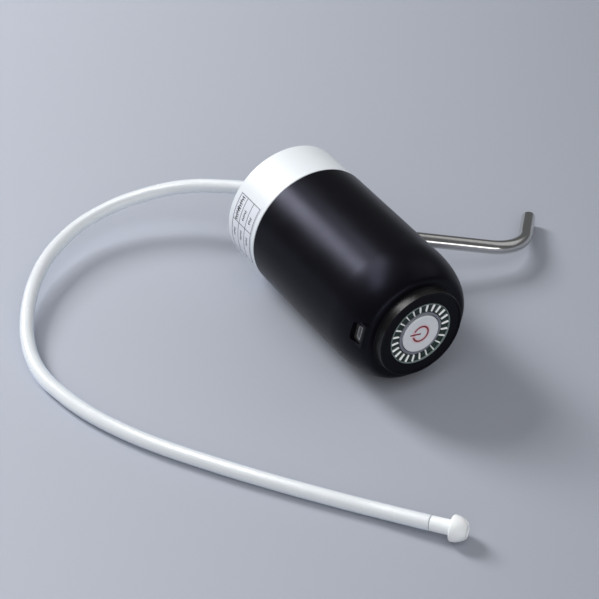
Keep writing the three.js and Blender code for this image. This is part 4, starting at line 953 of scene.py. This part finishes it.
def makeButton():
    sizes = buttonSizes
    bezel = turnOutline([
        (sizes["bezelInner"], sizes["bezelLow"]), (sizes["bezelOuter"], sizes["bezelLow"]),
        (sizes["bezelOuter"], sizes["bezelTop"]), (sizes["bezelInner"], sizes["bezelTop"]),
    ])
    roundEdges(bezel, sizes["bezelEdge"], sizes["edgeSteps"])
    finishPiece("buttonBezel", bezel, upright, "pump_body", "bezel_grey", ["button_bezel"])
    under = sizes["top"] - sizes["skin"]
    inner = sizes["radius"] - sizes["wall"]
    steps = sizes["dishSteps"]
    dish = [  # a top that sinks a little to its middle, where a finger rests
        (sizes["radius"] * (1 - step / steps),
         sizes["top"] - sizes["sag"] * (1 - (1 - step / steps) ** 2)) for step in range(steps + 1)
    ]
    outline = [
        (0, sizes["stemLow"]), (sizes["stemRadius"], sizes["stemLow"]),
        (sizes["stemRadius"], under), (inner, under), (inner, sizes["lipLow"]),
        (sizes["lipRadius"], sizes["lipLow"]), (sizes["lipRadius"], sizes["lipHigh"]),
        (sizes["radius"], sizes["lipHigh"]),
    ] + dish
    cap = roundEdges(turnOutline(outline, closed=False), sizes["edge"], sizes["edgeSteps"])
    finishPiece("buttonCap", cap, upright, "button", "button_grey", ["button_cap"],
                litButtonPaint())
    low = sizes["top"] - sizes["sag"] - sizes["markSink"]
    high = sizes["top"] - sizes["sag"] * sizes["markLevel"] + sizes["markRise"]
    half = sizes["markWidth"] / 2
    mark = turnedSector(
        sizes["markRadius"] - half, sizes["markRadius"] + half, low, high,
        sizes["markTurn"] + sizes["markGap"], sizes["markTurn"] + 360 - sizes["markGap"],
        sizes["markSteps"],
    )
    stroke = solidBlock((0, -half, low), (sizes["barReach"], half, high))
    turn = Matrix.Rotation(math.radians(sizes["markTurn"]), 4, "Z")
    bmesh.ops.transform(stroke, matrix=turn, verts=stroke.verts)
    addShape(mark, stroke)
    finishPiece("powerMark", mark, upright, "button", "button_grey", (), redPrint())


makeLightRing()
makeButton()
print("ring and button made")


def makePort():  # the plated shell of the charging port, its dull insert and the tongue
    sizes = portSizes
    half, high = sizes["shellWidth"] / 2, sizes["shellHeight"] / 2
    cut = sizes["shellCorner"]
    corners = [
        (half, high), (-half, high), (-half, -high + cut), (-half + cut, -high),
        (half - cut, -high), (half, -high + cut),
    ]
    shell = bmesh.new()
    points = [shell.verts.new((-sizes["shellFront"], y, sizes["height"] + z)) for y, z in corners]
    face = shell.faces.new(points)
    face.normal_update()
    inset = bmesh.ops.inset_region(
        shell, faces=[face], thickness=sizes["shellWall"], use_boundary=True, use_even_offset=True,
    )
    bmesh.ops.delete(shell, geom=[face], context="FACES_ONLY")
    pullFaces(shell, inset["faces"], (sizes["shellDepth"], 0, 0))
    bmesh.ops.recalc_face_normals(shell, faces=shell.faces)
    roundEdges(shell, sizes["shellEdge"], 2)
    finishPiece("portShell", shell, upright, "pump_body", "stainless", ["usb_socket"],
                nickelPlate())
    halfWidth = sizes["recessWidth"] / 2 - sizes["insertGap"]
    halfHeight = sizes["recessHeight"] / 2 - sizes["insertGap"]
    insert = solidBlock(
        (-sizes["insertFront"], -halfWidth, sizes["height"] - halfHeight),
        (-sizes["recessFloor"] + sizes["insertSink"], halfWidth, sizes["height"] + halfHeight),
    )
    play = sizes["insertPlay"]
    opening = solidBlock(
        (-sizes["insertFront"] - overrun, -half - play, sizes["height"] - high - play),
        (-sizes["recessFloor"] + overrun, half + play, sizes["height"] + high + play),
    )
    insert = roundEdges(carve(insert, opening), sizes["insertEdge"], 2)
    finishPiece("portInsert", insert, upright, "pump_body", "black_matte", (), socketPlastic())
    top = sizes["height"] + high - sizes["shellWall"] - sizes["tongueDrop"]
    tongue = solidBlock(
        (-sizes["tongueFront"], -sizes["tongueWidth"] / 2, top - sizes["tongueHeight"]),
        (-sizes["tongueBack"], sizes["tongueWidth"] / 2, top),
    )
    roundEdges(tongue, sizes["tongueEdge"], 2)
    finishPiece("portTongue", tongue, upright, "pump_body", "black_matte", ["usb_tongue"])


# The stainless spout: its leg from inside the socket, one bend and the short tip.
spoutSizes = {
    "radius": 3.9, "bore": 3.35, "inserted": 11.5, "leg": 80, "bend": 72, "bendRadius": 26,
    "tip": 39.5, "sides": 48, "bendSteps": 40, "mouthEdge": 0.15,
    "mouthOver": 60,  # only the mouths' edges turn more than this, in degrees
}


def makeSpout():
    sizes = spoutSizes
    turn = math.radians(sizes["bend"])
    tangent = sizes["bendRadius"] * math.tan(turn / 2)
    bendStart = sizes["leg"] - tangent
    tube = bmesh.new()
    start = Matrix.Translation((0, 0, -sizes["inserted"]))
    for radius in (sizes["radius"], sizes["bore"]):
        bmesh.ops.create_circle(tube, segments=sizes["sides"], radius=radius, matrix=start)
    bmesh.ops.bridge_loops(tube, edges=tube.edges[:])
    end = pullFaces(tube, tube.faces[:], (0, 0, bendStart + sizes["inserted"]))
    edges = {edge for face in end for edge in face.edges}
    verts = {vert for face in end for vert in face.verts}
    bent = bmesh.ops.spin(
        tube, geom=[*end, *edges, *verts], cent=(sizes["bendRadius"], 0, bendStart),
        axis=(0, 1, 0), angle=turn, steps=sizes["bendSteps"], use_merge=False, use_duplicate=False,
    )
    end = [item for item in bent["geom_last"] if isinstance(item, bmesh.types.BMFace)]
    length = sizes["tip"] - tangent
    pullFaces(tube, end, (math.sin(turn) * length, 0, math.cos(turn) * length))
    across = [  # a ring of faces that the spin leaves inside the wall
        face for face in tube.faces if sum(len(edge.link_faces) > 2 for edge in face.edges) > 1
    ]
    bmesh.ops.delete(tube, geom=across, context="FACES")
    bmesh.ops.recalc_face_normals(tube, faces=tube.faces)
    roundEdges(tube, sizes["mouthEdge"], over=sizes["mouthOver"])
    finishPiece("spoutTube", tube, alongLeg, "spout_tube", "stainless", ["spout"])


makePort()
makeSpout()
print("port and spout made")

# What stays from the frame gets its finish by the record's slots.
for part in frame["record"]["subparts"]:
    node = frame["nodes"][part["node"]]
    if not node.hide_render:
        node.data.materials.clear()
        node.data.materials.append(finishOf[part["material_slot"]])

# A floor with a painted light falloff across it, and soft studio light.
studio = {
    # the floor's two tones, and the band they blend across, are painted light and painted shade,
    # not the paper's own colour
    "floorPaintedLight": "#c1c6d2", "floorPaintedShade": "#90949e", "floorSize": 8, "floorRoughness": 0.9,
    "fadeAlong": (0.53, 0.85, 0), "fadeFrom": -0.4, "fadeTo": 0.2,
    "world": "#d8dade", "worldStrength": 0.21,
}
lamps = {  # where each stands, seen from the middle, in metres and watts
    "key": {"from": (-0.76, -0.303, 0.575), "distance": 5, "size": (1.4, 2), "power": 225},
    "fill": {"from": (0.58, -0.3, 0.76), "distance": 4, "size": (5.4, 5.4), "power": 104,
             "shines": False},  # leaves no shine, as light off a far ceiling does
    "back": {"from": (0.1, 0.72, 0.68), "distance": 2.2, "size": (2, 1.6), "power": 5},
    "strip": {"from": (-0.33, -0.26, 0.91), "distance": 1, "size": (0.85, 0.25), "power": 5.5,
              "lights": False},  # only a shine along the casing
    "glint": {"from": (0.976, -0.159, 0.22), "distance": 1.5, "size": (1.2, 0.45), "power": 4.5,
              "lights": False},  # only a shine along the spout
}


def makeFloor():
    shape = bmesh.new()
    bmesh.ops.create_grid(shape, x_segments=1, y_segments=1, size=studio["floorSize"] / 2)
    mesh = bpy.data.meshes.new("floor")
    shape.to_mesh(mesh)
    shape.free()
    # smooth background paper, its colour painted lighter towards the key lamp and darker away from
    # it: a painted light falloff
    material, tree, shader = startMaterial("studioPaper", studio["floorPaintedLight"],
                                           studio["floorRoughness"])
    place = addNode(tree, "ShaderNodeTexCoord")
    across = addNode(
        tree, "ShaderNodeVectorMath", {"operation": "DOT_PRODUCT", 1: studio["fadeAlong"]},
        {0: place.outputs["Object"]},
    )
    fade = addNode(
        tree, "ShaderNodeMapRange", {"From Min": studio["fadeFrom"], "From Max": studio["fadeTo"]},
        {"Value": across.outputs["Value"]},
    )
    mix = addNode(
        tree, "ShaderNodeMix",
        {"data_type": "RGBA", 6: linear(studio["floorPaintedLight"]), 7: linear(studio["floorPaintedShade"])},
        {0: fade.outputs["Result"]},
    )
    tree.links.new(mix.outputs[2], shader.inputs["Base Color"])
    mesh.materials.append(material)
    floor = bpy.data.objects.new("floor", mesh)
    bpy.context.scene.collection.objects.link(floor)


def makeLamp(name, settings):
    lamp = bpy.data.lights.new(name, "AREA")
    lamp.shape = "RECTANGLE"
    lamp.size, lamp.size_y = settings["size"]
    lamp.energy = settings["power"]
    holder = bpy.data.objects.new(name, lamp)
    holder.location = Vector(settings["from"]).normalized() * settings["distance"]
    holder.rotation_mode = "QUATERNION"
    holder.rotation_quaternion = holder.location.to_track_quat("Z", "Y")
    holder.visible_camera = False
    holder.visible_diffuse = settings.get("lights", True)
    holder.visible_glossy = settings.get("shines", True)
    bpy.context.scene.collection.objects.link(holder)


def makeWorld():
    world = bpy.data.worlds.new("studio")
    world.use_nodes = True
    back = world.node_tree.nodes["Background"]
    back.inputs["Color"].default_value = linear(studio["world"])
    back.inputs["Strength"].default_value = studio["worldStrength"]
    bpy.context.scene.world = world


makeFloor()
for lampName, lampSettings in lamps.items():
    makeLamp(lampName, lampSettings)
makeWorld()
bpy.context.scene.view_settings.view_transform = "Standard"
print("studio ready")
